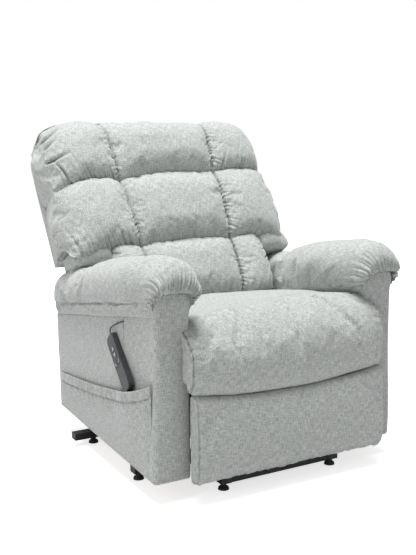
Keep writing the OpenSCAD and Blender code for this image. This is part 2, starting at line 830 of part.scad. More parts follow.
// A push button with a flange behind the face
module button(i) {
    color("#4a4b4f") on_handset() translate([button_rows[i][0], button_rows[i][1], 0]) {
        translate([0, 0, shell_t + 2]) linear_extrude(handset_t - shell_t - 1.2) button_outline(0.4);
        translate([0, 0, shell_t + 1]) linear_extrude(1.5) button_outline(-1.2);
    }
}

module button_raise() { button(0); }
module button_lower() { button(1); }
module button_back() { button(2); }
module button_legs() { button(3); }

// Lead of the handset: out of its top end, up in a slack curve, and through the slit under the pad
lead_d = 4;
lead_route = [
    [-434, -223.64, 445.5], [-434, -220.2, 449.1], [-434, -217, 454], [-434, -216, 459], [-434, -218, 464],
    [-433, -222, 469], [-432, -228, 473], [-431, -235, 477], [-430, -243, 481], [-429, -252, 485],
    [-428.4, -262, 489], [-428, -272, 493], [-428, -281, 495.5], [-427.5, -288, 497.5], [-425, -292.5, 499],
    [-420, -294.5, 500], [-413, -295, 500], [-407.3, -295, 500]
];

module lead_slit() {
    side_profile(outer_x - panel_t - 13, panel_t + 14) translate([-303, 436]) square([16, 72]);
}

function unit(v) = v / norm(v);

// A tube of k sides along a route: each ring is square to the route, turned from a fixed sideways axis
function tube_rings(route, r, k) = [for (i = [0:len(route) - 1])
    let (t = unit(route[min(i + 1, len(route) - 1)] - route[max(i - 1, 0)]),
         u = unit(cross(t, [0, 1, 0.3])), w = cross(t, u))
    [for (j = [0:k - 1]) route[i] + r * (cos(360 * j / k) * u + sin(360 * j / k) * w)]];

module handset_lead() {
    color("#1c1c1e") loft(tube_rings(lead_route, lead_d / 2, 8));
}

// ---------------------------------------------------------------- back

// Back frame: X across, Y behind the seams (t), Z up along the back (s)
module on_back() {
    translate([0, back_foot[0], back_foot[1]]) rotate([-back_lean, 0, 0]) children();
}

// Depth and height on the back, [t, s], of a side-view point
function to_back(p) = let (d = p - back_foot)
    [d[0] * cos(back_lean) - d[1] * sin(back_lean), d[0] * sin(back_lean) + d[1] * cos(back_lean)];

pillow_back = 57;
frame_t = [60, 159];
board = 20;
wing_s = 250;
shell_board = 15;
row_1 = row_low;
row_2 = row_low + row_mid;
row_3 = row_low + row_mid + row_top;
frame_top = row_3 - 34;
wing_x = back_half - board - 4;
lower_x = lower_back_half - 4;

module back_board_s(x, s0, s1) {
    translate([x, frame_t[0], s0]) cube([board, frame_t[1] - frame_t[0], s1 - s0]);
}

module back_board_x(half, s) {
    translate([-half, frame_t[0], s]) cube([2 * half, frame_t[1] - frame_t[0], board]);
}

// Boards on edge: two tall side boards, wings over the arms, and cross rails; steel plates at its foot
module back_frame() {
    hinge = to_back(back_pivot);
    crank = to_back(back_motor[1]);
    foot_s = 62;
    color("#c9a878") on_back() {
        both_sides() {
            back_board_s(lower_x - board, foot_s, frame_top);
            back_board_s(wing_x - board, wing_s + seat_gap, frame_top - 40);
            back_wing_rail(wing_s + seat_gap);
            back_wing_rail(frame_top - 40 - board);
        }
        back_board_x(lower_x - board, foot_s);
        back_board_x(lower_x - board, row_2 - board / 2);
        back_board_x(lower_x - board, frame_top - board);
        both_sides() back_plate(back_plate_x, hinge, foot_s, eye_r, bolt_r + pin_gap);
        for (x = [back_motor_x - fork_x - plate_t, back_motor_x + fork_x]) back_plate(x, crank, foot_s, 12, 0);
        pin(crank, 6, back_motor_x - fork_x - plate_t, back_motor_x + fork_x + plate_t);
    }
}

module back_wing_rail(s) {
    translate([lower_x, frame_t[0], s]) cube([wing_x - lower_x - board, frame_t[1] - frame_t[0], board]);
}

// A steel plate from the frame's bottom rail down to a pivot, in back coordinates [t, s]
module back_plate(x, p, foot_s, r, bore) {
    side_profile(x, plate_t) difference() {
        union() {
            dot(p, r);
            translate([p[0] - r, p[1]]) square([2 * r, foot_s - p[1]]);
        }
        if (bore > 0) dot(p, bore);
    }
}

// Elastic webbing across the frame, behind the pillows
web_count = 6;
web_w = 50;

module back_webbing() {
    pitch = (frame_top - 120) / web_count;
    color("#6d6f6b") on_back() for (i = [0:web_count - 1])
        translate([-lower_x + 2, pillow_back + 0.4, 100 + i * pitch]) cube([2 * lower_x - 4, 2, web_w]);
}

// Upholstered outer shell: a panel behind the frame, narrow between the arms, and walls round the wings and top
shell_low = 24;
shell_half = back_half - 4;
shell_top = row_3 - 8;
shell_r = 60;

module back_shell() {
    side = shell_half - wing_x - seat_gap;
    crown = shell_top - frame_top - seat_gap;
    color("#aab0aa") on_back() {
        from_front(frame_t[1] + seat_gap, back_depth) {
            translate([-lower_back_half, shell_low]) square([2 * lower_back_half, wing_s - shell_low + 1]);
            round_top(shell_half, wing_s, shell_top, shell_r);
        }
        from_front(frame_t[0] - 2, frame_t[1] + seat_gap + 1) difference() {
            round_top(shell_half, wing_s, shell_top, shell_r);
            round_top(shell_half - side, wing_s - 1, shell_top - crown, shell_r - side);
        }
    }
}

// A profile in [x, s] made solid from one depth on the back to another
module from_front(t0, t1) {
    translate([0, t0, 0]) rotate([-90, 0, 0]) mirror([0, 1, 0]) linear_extrude(t1 - t0) children();
}

// A rectangle with two round corners at its top
module round_top(half, low, top, r) {
    translate([-half, low]) square([2 * half, top - r - low]);
    translate([-half + r, low]) square([2 * (half - r), top - low]);
    for (s = [-1, 1]) translate([s * (half - r), top - r]) circle(r);
}

// Half distance between the two column seams at a height on the back
function column_x(s) = mix(158, 196, s / row_3);
channel_w = 20;
channel_depth = 0.5;

// How much of the full crest stands at x: less in a sewn channel, and rolled off at the ends
function column_fill(x, s) = 1 - channel_depth * exp(-pow((abs(x) - column_x(s)) / channel_w, 2));

function row_ring(x, s0, s1, half, puff, top_roll) =
    let (e = abs(x) / half, edge = sqrt(max(0, 1 - pow(e, 7))),
         sm = (s0 + s1) / 2, hs = (s1 - s0) / 2 * mix(0.72, 1, edge))
    [for (k = [0:19]) let (a = 360 * k / 20, c = cos(a), q = sin(a), s = sm + hs * spow(c, 0.6))
        [x, q < 0 ? -(puff * column_fill(x, s) * mix(0.25, 1, edge)) * spow(-q, 0.75) + 4 + top_roll * pow(max(c, 0), 3)
                  : 4 + (pillow_back - 4) * spow(q, 0.4) * mix(0.6, 1, edge) + (q < 0.1 ? top_roll * pow(max(c, 0), 3) : 0), s]];

function row_stations(half, n) = [for (i = [0:n]) let (u = 2 * i / n - 1) half * sign(u) * (1 - pow(1 - abs(u), 1.35))];

module back_row(s0, s1, half, puff, top_roll = 0) {
    rings = [for (x = row_stations(half, 30)) row_ring(x, s0, s1, half, puff, top_roll)];
    color("#bcc3c0") on_back() loft(rings);
}

module back_row_top() { back_row(row_2 + 1, row_3, back_half, crest, 40); }
module back_row_middle() { back_row(row_1 + 1, row_2 - 1, back_half - 6, crest); }
module back_row_bottom() { back_row(18, row_1 - 1, lower_back_half, crest - 12); }

// ---------------------------------------------------------------- legrest

// Rear links of both sides on one torque tube, with the motor's crank
module legrest_links_rear() {
    color("#3b3d40") {
        both_sides() side_profile(leg_link_x[0], leg_link_t) difference() {
            bar(leg_pivot, leg_knee, leg_link_r);
            dot(leg_knee, leg_bolt_r + pin_gap);
        }
        pin(leg_pivot, 12, 0.4 - leg_link_x[0], leg_link_x[0] - 0.4);
        fork(leg_motor_x) bar(leg_pivot, leg_motor[1], 11);
        pin(leg_motor[1], 5, leg_motor_x - fork_x - plate_t, leg_motor_x + fork_x + plate_t);
        both_sides() {
            pin(leg_knee, leg_bolt_r, leg_link_x[0] - 1, leg_link_x[1] + leg_link_t + 1);
            pin(leg_knee, leg_bolt_r + 4, leg_link_x[1] + leg_link_t + 0.5, leg_link_x[1] + leg_link_t + 4);
        }
    }
}

module legrest_link_front(left) {
    color("#3b3d40") on_side(left) side_profile(leg_link_x[1], leg_link_t) difference() {
        union() {
            bar(leg_knee, leg_ankle, 8.4);
            dot(leg_knee, leg_link_r - 1);
        }
        dot(leg_knee, leg_bolt_r + pin_gap);
        dot(leg_ankle, leg_bolt_r + pin_gap);
    }
}

module legrest_link_front_left() { legrest_link_front(true); }
module legrest_link_front_right() { legrest_link_front(false); }

board_back = -legrest_front + legrest_t;
board_t = 12;

// Plywood board with a steel bracket and a pin for the front link on each side
module legrest_board() {
    half = legrest_half - 22;
    color("#c9a878") {
        translate([-half, board_back - board_t, legrest_z + 16]) cube([2 * half, board_t, lip_z - legrest_z - 34]);
        both_sides() {
            x = leg_link_x[0];
            side_profile(x, leg_link_t) {
                dot(leg_ankle, 9);
                translate([board_back, leg_ankle[1] - 30]) square([leg_ankle[0] - board_back, 39]);
            }
            pin(leg_ankle, leg_bolt_r, x, leg_link_x[1] + leg_link_t + 1);
            pin(leg_ankle, leg_bolt_r + 3.5, leg_link_x[1] + leg_link_t + 0.5, leg_link_x[1] + leg_link_t + 4);
        }
    }
}

// Legrest pad: a crowned panel wrapped round the board, its top edge sagging with the seat's lip
function legrest_ring(x) =
    let (e = abs(x) / legrest_half, edge = sqrt(max(0, 1 - pow(e, 12))),
         top = lip_z - 3 + lip_side_rise * pow(e, 3) - (1 - edge) * 10,
         low = legrest_z + (1 - edge) * 14,
         zm = (top + low) / 2, hz = (top - low) / 2,
         y1 = board_back - board_t - seat_gap, ym = y1 - 16,
         puff = legrest_front + ym)
    [for (k = [0:19]) let (a = 360 * k / 20, c = spow(cos(a), 0.3), q = sin(a))
        [x, q < 0 ? ym - puff * spow(-q, 0.42) * mix(0.72, 1, edge) * (0.9 + 0.1 * (1 - c * c))
                  : ym + 16 * spow(q, 0.3), zm + hz * c]];

module legrest_pad() {
    color("#a9afab") loft([for (x = row_stations(legrest_half, 16)) legrest_ring(x)]);
}

base_rail_left();
base_rail_right();
base_cross_front();
base_cross_middle();
base_cross_rear();
base_feet();
tube_plugs();
base_bolts();
lift_arm_left();
lift_arm_right();
lift_torque_tube();
guide_link_left();
guide_link_right();
lift_motor_housing();
lift_motor_rod();
seat_rail_left();
seat_rail_right();
seat_cross_tubes();
seat_bolts();
seat_box();
seat_springs();
seat_cushion();
arm_frame_left();
arm_frame_right();
arm_liner_left();
arm_liner_right();
side_panel_left();
side_panel_right();
arm_front_left();
arm_front_right();
arm_pad_left();
arm_pad_right();
rear_panel();
side_pocket();
control_box();
power_supply();
handset_face();
handset_shell();
button_raise();
button_lower();
button_back();
button_legs();
handset_lead();
back_frame();
back_webbing();
back_shell();
back_row_top();
back_row_middle();
back_row_bottom();
back_motor_housing();
back_motor_rod();
legrest_links_rear();
legrest_link_front_left();
legrest_link_front_right();
legrest_board();
legrest_pad();
legrest_motor_housing();
legrest_motor_rod();
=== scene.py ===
# %% [markdown]
# # A lift recliner in grey-green cloth
# The real chair is foam and loose fibre under a woven cover, on a plywood and steel frame that a
# motor tips forward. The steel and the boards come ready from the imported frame. This lesson makes
# what a frame can't show: the swelling of stuffed cloth, its sewn channels, tucks and seams, and
# the finish of each surface. Lengths are in millimetres until a mesh is written, because sewing
# and joinery are measured in them.

# %% Load the frame
import json
import math
import bpy
import numpy as np
from mathutils import Matrix, Vector


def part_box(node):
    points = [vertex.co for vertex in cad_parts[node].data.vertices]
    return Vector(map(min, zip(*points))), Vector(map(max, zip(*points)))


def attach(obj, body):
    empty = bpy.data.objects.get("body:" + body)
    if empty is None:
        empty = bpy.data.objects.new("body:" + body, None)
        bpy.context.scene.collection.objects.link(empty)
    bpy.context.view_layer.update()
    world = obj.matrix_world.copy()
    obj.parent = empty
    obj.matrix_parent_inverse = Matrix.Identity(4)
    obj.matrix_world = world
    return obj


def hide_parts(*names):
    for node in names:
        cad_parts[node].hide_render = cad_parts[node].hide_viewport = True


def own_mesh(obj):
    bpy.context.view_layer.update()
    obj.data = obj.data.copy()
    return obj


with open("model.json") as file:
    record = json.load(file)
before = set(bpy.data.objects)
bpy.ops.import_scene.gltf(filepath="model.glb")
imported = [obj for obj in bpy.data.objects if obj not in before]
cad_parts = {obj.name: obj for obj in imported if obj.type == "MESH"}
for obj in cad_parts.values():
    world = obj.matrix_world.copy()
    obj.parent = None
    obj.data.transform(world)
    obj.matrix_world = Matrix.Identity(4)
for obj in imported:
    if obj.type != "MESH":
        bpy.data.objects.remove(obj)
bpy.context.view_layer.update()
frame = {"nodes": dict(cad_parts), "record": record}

# %% [markdown]
# ## The camera
# A camera is a place, three directions and a lens. Here it stands 29 degrees to the sitter's right
# and 12 degrees up, and the lens is 54 mm for a 36 mm sensor. The small shift slides the picture
# without turning the camera, so uprights stay upright.

# %% Place the camera
picture_w, picture_h = 416, 555
camera_turn, camera_rise, camera_roll = math.radians(-29.425), math.radians(12.15), math.radians(-0.4435)
camera_far, lens_px = 2.8246, 836.19
centre_px = (213.70, 321.61)
camera_aim = Vector((0.00556, -0.06088, 0.40788))

backward = Vector((math.sin(camera_turn) * math.cos(camera_rise),
                   -math.cos(camera_turn) * math.cos(camera_rise),
                   math.sin(camera_rise)))
side = (-backward).cross(Vector((0, 0, 1))).normalized()
upward = side.cross(-backward)
right = math.cos(camera_roll) * side + math.sin(camera_roll) * upward
up = -math.sin(camera_roll) * side + math.cos(camera_roll) * upward
camera_data = bpy.data.cameras.new("camera")
camera = bpy.data.objects.new("camera", camera_data)
bpy.context.scene.collection.objects.link(camera)
turned = Matrix((right, up, backward)).transposed().to_4x4()
camera.matrix_world = Matrix.Translation(camera_aim + backward * camera_far) @ turned
camera_data.sensor_width = 36
camera_data.lens = 36 * lens_px / picture_h
camera_data.shift_x = -(centre_px[0] - picture_w / 2) / picture_h
camera_data.shift_y = (centre_px[1] - picture_h / 2) / picture_h
bpy.context.scene.camera = camera
print("camera at", [round(v, 3) for v in camera.location], "lens", round(camera_data.lens, 1), "mm")

# %% [markdown]
# ## Shader maths as plain expressions
# A shader is a net of small nodes, and wiring them one by one hides the sum that they work out.
# The class below wraps a socket, so that a * b + 1 adds the nodes by itself. Every other node
# comes from one method, which takes the node's type, its settings and its sockets' values.

# %% A socket that can be used in sums


class Wire:
    """The output of a shader node, usable in sums with numbers and other wires."""

    def __init__(self, net, socket):
        self.net, self.socket = net, socket

    def sum(self, operation, first, second):
        return self.net.add("Math", {"operation": operation}, {0: first, 1: second})

    def __add__(self, other): return self.sum("ADD", self, other)
    def __radd__(self, other): return self.sum("ADD", other, self)
    def __sub__(self, other): return self.sum("SUBTRACT", self, other)
    def __rsub__(self, other): return self.sum("SUBTRACT", other, self)
    def __mul__(self, other): return self.sum("MULTIPLY", self, other)
    def __rmul__(self, other): return self.sum("MULTIPLY", other, self)


class Net:
    """A tree of shader nodes that is built from expressions."""

    def __init__(self, tree):
        self.tree = tree
        tree.nodes.clear()

    def add(self, kind, settings=None, sockets=None, out=0):
        """A node by its type, its settings and its sockets' values or wires; `out` is the output to go on with."""
        node = self.tree.nodes.new("ShaderNode" + kind)
        for name, value in (settings or {}).items():
            setattr(node, name, value)
        for name, value in (sockets or {}).items():
            if isinstance(value, Wire):
                self.tree.links.new(value.socket, node.inputs[name])
            else:
                node.inputs[name].default_value = value
        return Wire(self, node.outputs[out]) if node.outputs else None

    def mix(self, share, first, second):
        return self.add("Mix", {"data_type": "RGBA"}, {0: share, 6: first, 7: second}, out=2)

    def stretched(self, where, factors):
        return self.add("VectorMath", {"operation": "MULTIPLY"}, {0: where, 1: factors})

    def noise(self, where, scale, detail=2.0, rough=0.5):
        return self.add("TexNoise", {}, {"Vector": where, "Scale": scale, "Detail": detail, "Roughness": rough})

    def step(self, value, low, high):
        return self.add("MapRange", {"interpolation_type": "SMOOTHSTEP"}, {"Value": value, "From Min": low, "From Max": high})

    def bump(self, height, strength, depth_mm):
        return self.add("Bump", {}, {"Height": height, "Strength": strength, "Distance": depth_mm / 1000})


class Finish(Net):
    """A material that is made of such a tree."""

    def __init__(self, name):
        self.material = bpy.data.materials.new(name)
        self.material.use_nodes = True
        super().__init__(self.material.node_tree)

    def surface(self, **sockets):
        shader = self.add("BsdfPrincipled", {}, {name.replace("_", " "): value for name, value in sockets.items()})
        self.add("OutputMaterial", {}, {"Surface": shader})
        return self.material


print("shader maths ready")

# %% [markdown]
# ## Surround and light
# A white surround gives a plain product picture. It is brighter for the camera and for reflections
# than for the cloth, so the picture's ground is white and the cloth isn't washed out. One large lamp
# high overhead models the folds, and a faint one on the left lifts the side that it doesn't reach.

# %% Light the scene
scene = bpy.context.scene
scene.view_settings.view_transform = "Standard"
scene.world = bpy.data.worlds.new("surround")
scene.world.use_nodes = True
surround = Net(scene.world.node_tree)
seen = surround.add("LightPath", out="Is Camera Ray")
for ray in ("Is Glossy Ray", "Is Transmission Ray"):
    seen = surround.add("Math", {"operation": "MAXIMUM"}, {0: seen, 1: surround.add("LightPath", out=ray)})
strength = surround.add("MapRange", {}, {"Value": seen, "To Min": 0.35, "To Max": 1.0})
backdrop = surround.add("Background", {}, {"Color": (1, 1, 1, 1), "Strength": strength})
surround.add("OutputWorld", {}, {"Surface": backdrop})


def lamp(name, place, aim, size, watts):
    data = bpy.data.lights.new(name, "AREA")
    data.size, data.energy = size, watts
    thing = bpy.data.objects.new(name, data)
    scene.collection.objects.link(thing)
    thing.location = place
    thing.rotation_euler = (Vector(aim) - Vector(place)).to_track_quat("-Z", "Y").to_euler()


lamp("overhead", (-0.6, 0.0, 7.0), (0, -0.1, 0.5), 3.2, 620)
lamp("left_window", (-3.0, -1.1, 1.9), (0, 0, 0.5), 1.5, 12)
print("two lamps and a white surround")

# %% [markdown]
# ## The cover's cloth
# Melange cloth is woven from threads spun of light and dark fibre, so it is never one grey: short
# dashes run along both threads, and the whole bolt drifts a little in tone. Each soft mesh carries
# its own cloth coordinates, millimetres along and across the weave, so the dashes keep their
# size round every curve without an unwrapped picture. A third number tells how deep each point lies
# in a crease, and there the cloth is darkened as painted shade, in place of the shadow in the crease.

# %% Weave the melange cloth
dash_long, dash_fine, thread_scale = 0.050, 0.44, 0.19   # per millimetre of cloth


def melange(name, light, dark, tone=0.05, fuzz=0.35):
    f = Finish(name)
    place = f.add("Attribute", {"attribute_name": "cloth"}, out=1)
    cloth = f.stretched(place, (1, 1, 0))
    painted_shade_share = f.add("SeparateXYZ", {}, {0: place}, out=2)
    weft = f.noise(f.stretched(cloth, (dash_long, dash_fine, 1.0)), 1.0, 2.0, 0.6)
    warp = f.noise(f.stretched(cloth, (dash_fine, dash_long, 1.0)), 1.0, 2.0, 0.6)
    cloud = f.noise(cloth, 0.012, 2.0)
    speck = f.noise(cloth, 0.42, 2.0, 0.7)
    dash = f.step(weft * 0.5 + warp * 0.5 + (speck - 0.5) * 0.26, 0.415, 0.585)
    shade = dash * (1 - tone) + (cloud - 0.5) * tone * 2
    colour = f.mix(shade, dark + (1,), light + (1,))
    # painted shade: deep in a crease the colour is drawn toward a very dark copy of the dark thread
    colour = f.mix(painted_shade_share * 0.62, colour, tuple(c * 0.22 for c in dark) + (1,))
    thread, pick = (f.add("TexWave", {"wave_type": "BANDS", "bands_direction": axis},
                          {"Vector": cloth, "Scale": thread_scale, "Distortion": 1.2, "Detail": 1.0}) for axis in "XY")
    bump = f.bump(thread * pick * 0.5 + dash * 0.5 + speck * 0.4, 0.55, 0.6)
    return f.surface(Base_Color=colour, Roughness=0.92, Normal=bump,
                     Sheen_Weight=fuzz, Sheen_Roughness=0.6, Specular_IOR_Level=0.2)


cover_light, cover_dark = (0.545, 0.571, 0.548), (0.31, 0.326, 0.313)
cover_cloth = melange("melange_cover", cover_light, cover_dark)
lining_cloth = melange("woven_lining", (0.17, 0.18, 0.175), (0.08, 0.085, 0.08), fuzz=0.2)
print("cloth:", cover_cloth.name, lining_cloth.name)

# %% [markdown]
# ## The hard finishes
# Powder coat on steel is black with a fine orange-peel skin; moulded plastic has a spark-eroded
# grain; rubber is duller still and greys where it rubs; zinc plate is bright with a faint cloudy
# bloom; plywood shows stretched grain. Their coordinates come from the object itself.

# %% Mix the hard finishes


def grained(name, colour, rough, grain_mm, height_mm, drift_share=0.12, metal=0.0):
    f = Finish(name)
    where = f.add("TexCoord", {}, {}, out=3)
    grain = f.noise(where, 1000 / grain_mm, 3.0, 0.6)
    cloud = f.noise(where, 14.0, 3.0, 0.6)
    worn = tuple(min(1.0, c * (1 + 2.2 * drift_share) + 0.015 * drift_share) for c in colour)
    tint = f.mix(f.step(cloud, 0.35, 0.75), colour + (1,), worn + (1,))
    return f.surface(Base_Color=tint, Roughness=cloud * 0.16 + (rough - 0.08), Metallic=metal,
                     Normal=f.bump(grain, 0.6, height_mm))


def plywood_board(name):
    f = Finish(name)
    grain = f.noise(f.stretched(f.add("TexCoord", {}, {}, out=3), (90.0, 9.0, 90.0)), 1.0, 5.0, 0.65)
    tint = f.mix(f.step(grain, 0.35, 0.7), (0.62, 0.44, 0.27, 1), (0.42, 0.27, 0.15, 1))
    return f.surface(Base_Color=tint, Roughness=0.7, Normal=f.bump(grain, 0.4, 0.5))


powder_coat = grained("powder_coat", (0.0075, 0.0075, 0.0085), 0.55, 1.6, 0.05, 0.5)
link_coat = grained("link_coat", (0.035, 0.036, 0.040), 0.45, 1.6, 0.05, 0.4)
zinc_plate = grained("zinc_plate", (0.60, 0.61, 0.63), 0.34, 2.5, 0.03, 0.1, metal=1.0)
foot_rubber = grained("foot_rubber", (0.014, 0.014, 0.015), 0.78, 1.2, 0.08, 0.9)
moulded_black = grained("moulded_black", (0.018, 0.018, 0.020), 0.5, 0.7, 0.05, 0.3)
handset_skin = grained("handset_skin", (0.024, 0.024, 0.028), 0.44, 0.5, 0.03, 0.3)
key_skin = grained("key_skin", (0.036, 0.036, 0.042), 0.5, 0.5, 0.03, 0.3)
mark_paint = grained("mark_paint", (0.42, 0.43, 0.46), 0.6, 0.8, 0.01, 0.1)
plywood = plywood_board("plywood")
print("nine hard finishes")

# %% Give every rigid node its finish
slot_finish = {"frame_steel": powder_coat, "link_steel": link_coat, "bright_steel": zinc_plate,
               "plywood": plywood, "rubber": foot_rubber, "black_plastic": moulded_black,
               "handset_plastic": handset_skin, "key_plastic": key_skin,
               "lining": lining_cloth, "fabric": cover_cloth}
slot_of = {part["node"]: part["material_slot"] for part in frame["record"]["subparts"]}
for node, thing in frame["nodes"].items():
    finish = slot_finish[slot_of[node]]
    if not thing.material_slots:
        thing.data.materials.append(finish)
    for place in thing.material_slots:
        place.material = finish
print(len(slot_of), "nodes finished")

# %% [markdown]
# ## Tools for stuffed cloth
# A cushion is drawn here as rings of points that are stitched into a closed skin, a form that
# keeps its rows and columns, so that a seam or a tuck can be placed by its distance along the
# cloth. Small tools for this follow: they draw smooth or evenly spaced lines, make gentle noise,
# and press thin valleys, the tucks that a seam gathers, into the skin.

# %% Lines, noise and valleys


def signed_power(v, e):
    return np.sign(v) * np.abs(v) ** e


def ease(v):
    v = np.clip(v, 0, 1)
    return v * v * (3 - 2 * v)


def spaced(points, n):
    """n points at even steps along an open line of points."""
    points = np.asarray(points, float)
    d = np.r_[0, np.cumsum(np.linalg.norm(np.diff(points, axis=0), axis=1))]
    return np.stack([np.interp(np.linspace(0, d[-1], n), d, points[:, k]) for k in range(points.shape[1])], 1)


def through(points, per=14):
    """A smooth line through points, with `per` steps between two of them."""
    p = np.asarray(points, float)
    p = np.vstack([2 * p[0] - p[1], p, 2 * p[-1] - p[-2]])
    t = np.linspace(0, 1, per, endpoint=False)[:, None]
    parts = []
    for a, b, c, d in zip(p[:-3], p[1:-2], p[2:-1], p[3:]):
        parts.append(0.5 * (2 * b + (c - a) * t + (2 * a - 5 * b + 4 * c - d) * t ** 2 + (3 * b - a - 3 * c + d) * t ** 3))
    return np.vstack(parts + [p[-2:-1]])


def drift(u, v, size, seed):
    """Smooth noise between -1 and 1, in lumps about `size` millimetres across."""
    table = np.random.default_rng(seed).uniform(-1, 1, (64, 64))
    a, b = np.asarray(u) / size, np.asarray(v) / size
    i, j = np.floor(a).astype(int), np.floor(b).astype(int)
    f, g = ease(a - i), ease(b - j)
    at = lambda p, q: table[p % 64, q % 64]
    return (at(i, j) * (1 - f) + at(i + 1, j) * f) * (1 - g) + (at(i, j + 1) * (1 - f) + at(i + 1, j + 1) * f) * g


def valleys(u, v, lines):
    """How deep the tucks are at each point; a line is (u0, v0, u1, v1, depth, width), deepest at its start."""
    depth = np.zeros_like(u)
    for u0, v0, u1, v1, deep, wide in lines:
        du, dv = u1 - u0, v1 - v0
        t = np.clip(((u - u0) * du + (v - v0) * dv) / (du * du + dv * dv), 0, 1)
        d = np.hypot(u - u0 - t * du, v - v0 - t * dv)
        depth += deep * (1 - t) ** 1.1 * (np.exp(-(d / wide) ** 2) - 0.38 * np.exp(-(d / (2.4 * wide)) ** 2))
    return depth


def tucks(seed, start, stop, pitch, reach, depth, width, base=0.0, way=1.0, lean=0.0, turn=False):
    """Valley lines that leave a seam at `base`, about `pitch` apart from start to stop."""
    rng = np.random.default_rng(seed)
    lines, at = [], start + pitch * rng.uniform(0, 0.6)
    while at < stop:
        far = reach * rng.uniform(0.45, 1.15)
        tip = at + far * (lean + rng.uniform(-0.16, 0.16))
        line = (at, base, tip, base + way * far)
        if turn:
            line = (line[1], line[0], line[3], line[2])
        lines.append(line + (depth * rng.uniform(0.5, 1.15), width * rng.uniform(0.8, 1.25)))
        at += pitch * rng.uniform(0.6, 1.45)
    return lines


print("tools for lines, noise and tucks")

# %% [markdown]
# ## From rings to a mesh
# Rings of points become quads; the two end rings close on a fan. The same grid gives each point's
# normal, so that a seam can be pressed straight into the skin. A sheet, such as the cover of an
# arm, is an open grid that gets a second face a few millimetres inside, and edges between them.

# %% Skins and sheets


def ring_normals(grid, closed=True):
    if closed:
        b = np.roll(grid, -1, 1) - np.roll(grid, 1, 1)
    else:
        b = np.gradient(grid, axis=1)
    a = np.gradient(grid, axis=0)
    n = np.cross(a, b)
    return n / np.maximum(np.linalg.norm(n, axis=2, keepdims=True), 1e-9)


def outward(grid, closed=True):
    """Normals that point away from the grid's own middle."""
    n = ring_normals(grid, closed)
    middle = grid.reshape(-1, 3).mean(0)
    return n if ((grid - middle) * n).sum() > 0 else -n


def write_mesh(name, points, faces, cloth, finish):
    mesh = bpy.data.meshes.new(name)
    mesh.from_pydata((np.asarray(points) / 1000).tolist(), [], faces)
    mesh.update()
    mesh.validate()
    if cloth is not None:
        layer = mesh.attributes.new("cloth", "FLOAT_VECTOR", "POINT")
        layer.data.foreach_set("vector", np.asarray(cloth, np.float32).ravel())
    mesh.polygons.foreach_set("use_smooth", [True] * len(mesh.polygons))
    mesh.materials.append(finish)
    thing = bpy.data.objects.new(name, mesh)
    bpy.context.scene.collection.objects.link(thing)
    return thing


def skin_faces(m, n, flip):
    faces = []
    for i in range(m - 1):
        for j in range(n):
            k = (j + 1) % n
            faces.append((i * n + j, i * n + k, (i + 1) * n + k, (i + 1) * n + j))
    first, last = m * n, m * n + 1
    faces += [(first, (j + 1) % n, j) for j in range(n)]
    faces += [(last, (m - 1) * n + j, (m - 1) * n + (j + 1) % n) for j in range(n)]
    return [f[::-1] for f in faces] if flip else faces


def painted_crease_shade(press, full=6.0):
    """How deep in a crease each point lies, from 0 to 1, for the painted shade that darkens the cloth there."""
    return np.clip((press - 0.8) / full, 0, 1) ** 1.3


def skin(name, grid, u, v, finish=None, painted_shade=None, flat_ends=None):
    """A closed skin from rings; u and v are the cloth coordinates of its points, and a third array, passed after
    the finish, says how deep they lie in a crease, for the painted shade that darkens the cloth there.
    flat_ends names the two axes of the plane in which the cloth of the end faces lies."""
    if flat_ends:
        shares = np.array([0.97, 0.8, 0.6, 0.4, 0.2])[:, None, None]
        first, last = (ring.mean(0) + (ring - ring.mean(0)) * shares for ring in (grid[0], grid[-1]))
        grid = np.concatenate([first[::-1], grid, last])
        u, v = (np.concatenate([first[::-1, :, axis], flat, last[:, :, axis]]) for flat, axis in zip((u, v), flat_ends))
        painted_shade = np.zeros_like(u) if painted_shade is None else np.pad(painted_shade, ((5, 5), (0, 0)))
    m, n = grid.shape[:2]
    points = np.vstack([grid.reshape(-1, 3), grid[0].mean(0), grid[-1].mean(0)])
    cloth = np.stack([np.r_[u.ravel(), u[0].mean(), u[-1].mean()], np.r_[v.ravel(), v[0].mean(), v[-1].mean()],
                      np.zeros(len(points)) if painted_shade is None else np.r_[painted_shade.ravel(), 0, 0]], 1)
    normals = ring_normals(grid)
    flip = ((grid - grid.reshape(-1, 3).mean(0)) * normals).sum() > 0
    return write_mesh(name, points, skin_faces(m, n, flip), cloth, finish or cover_cloth)


def doubled(grid, inward, thick, u, v, painted_shade=None):
    """The points of a sheet's two faces, `thick` apart along `inward`, and their cloth coordinates with how deep each
    lies in a crease, for the painted shade there.
    """
    points = np.vstack([grid.reshape(-1, 3), (grid + inward * thick).reshape(-1, 3)])
    painted_shade = np.zeros_like(u) if painted_shade is None else painted_shade
    return points, np.stack([np.tile(part.ravel(), 2) for part in (u, v, painted_shade)], 1)


def sheet(name, grid, inward, thick, u, v, finish=None):
    """An open grid made into a thin body with closed edges."""
    m, n = grid.shape[:2]
    both, cloth = doubled(grid, inward, thick, u, v)
    o, faces = m * n, []
    for i in range(m - 1):
        for j in range(n - 1):
            a = i * n + j
            faces.append((a, a + 1, a + n + 1, a + n))
            faces.append((o + a, o + a + n, o + a + n + 1, o + a + 1))
    rim = ([i * n for i in range(m)] + [(m - 1) * n + j for j in range(1, n)]
           + [i * n + n - 1 for i in range(m - 2, -1, -1)] + [j for j in range(n - 2, 0, -1)])
    faces += [(a, o + a, o + b, b) for a, b in zip(rim, rim[1:] + rim[:1])]
    if (ring_normals(grid, False) * inward).sum() > 0:
        faces = [f[::-1] for f in faces]
    return write_mesh(name, both, faces, cloth, finish or cover_cloth)


print("skins and sheets")
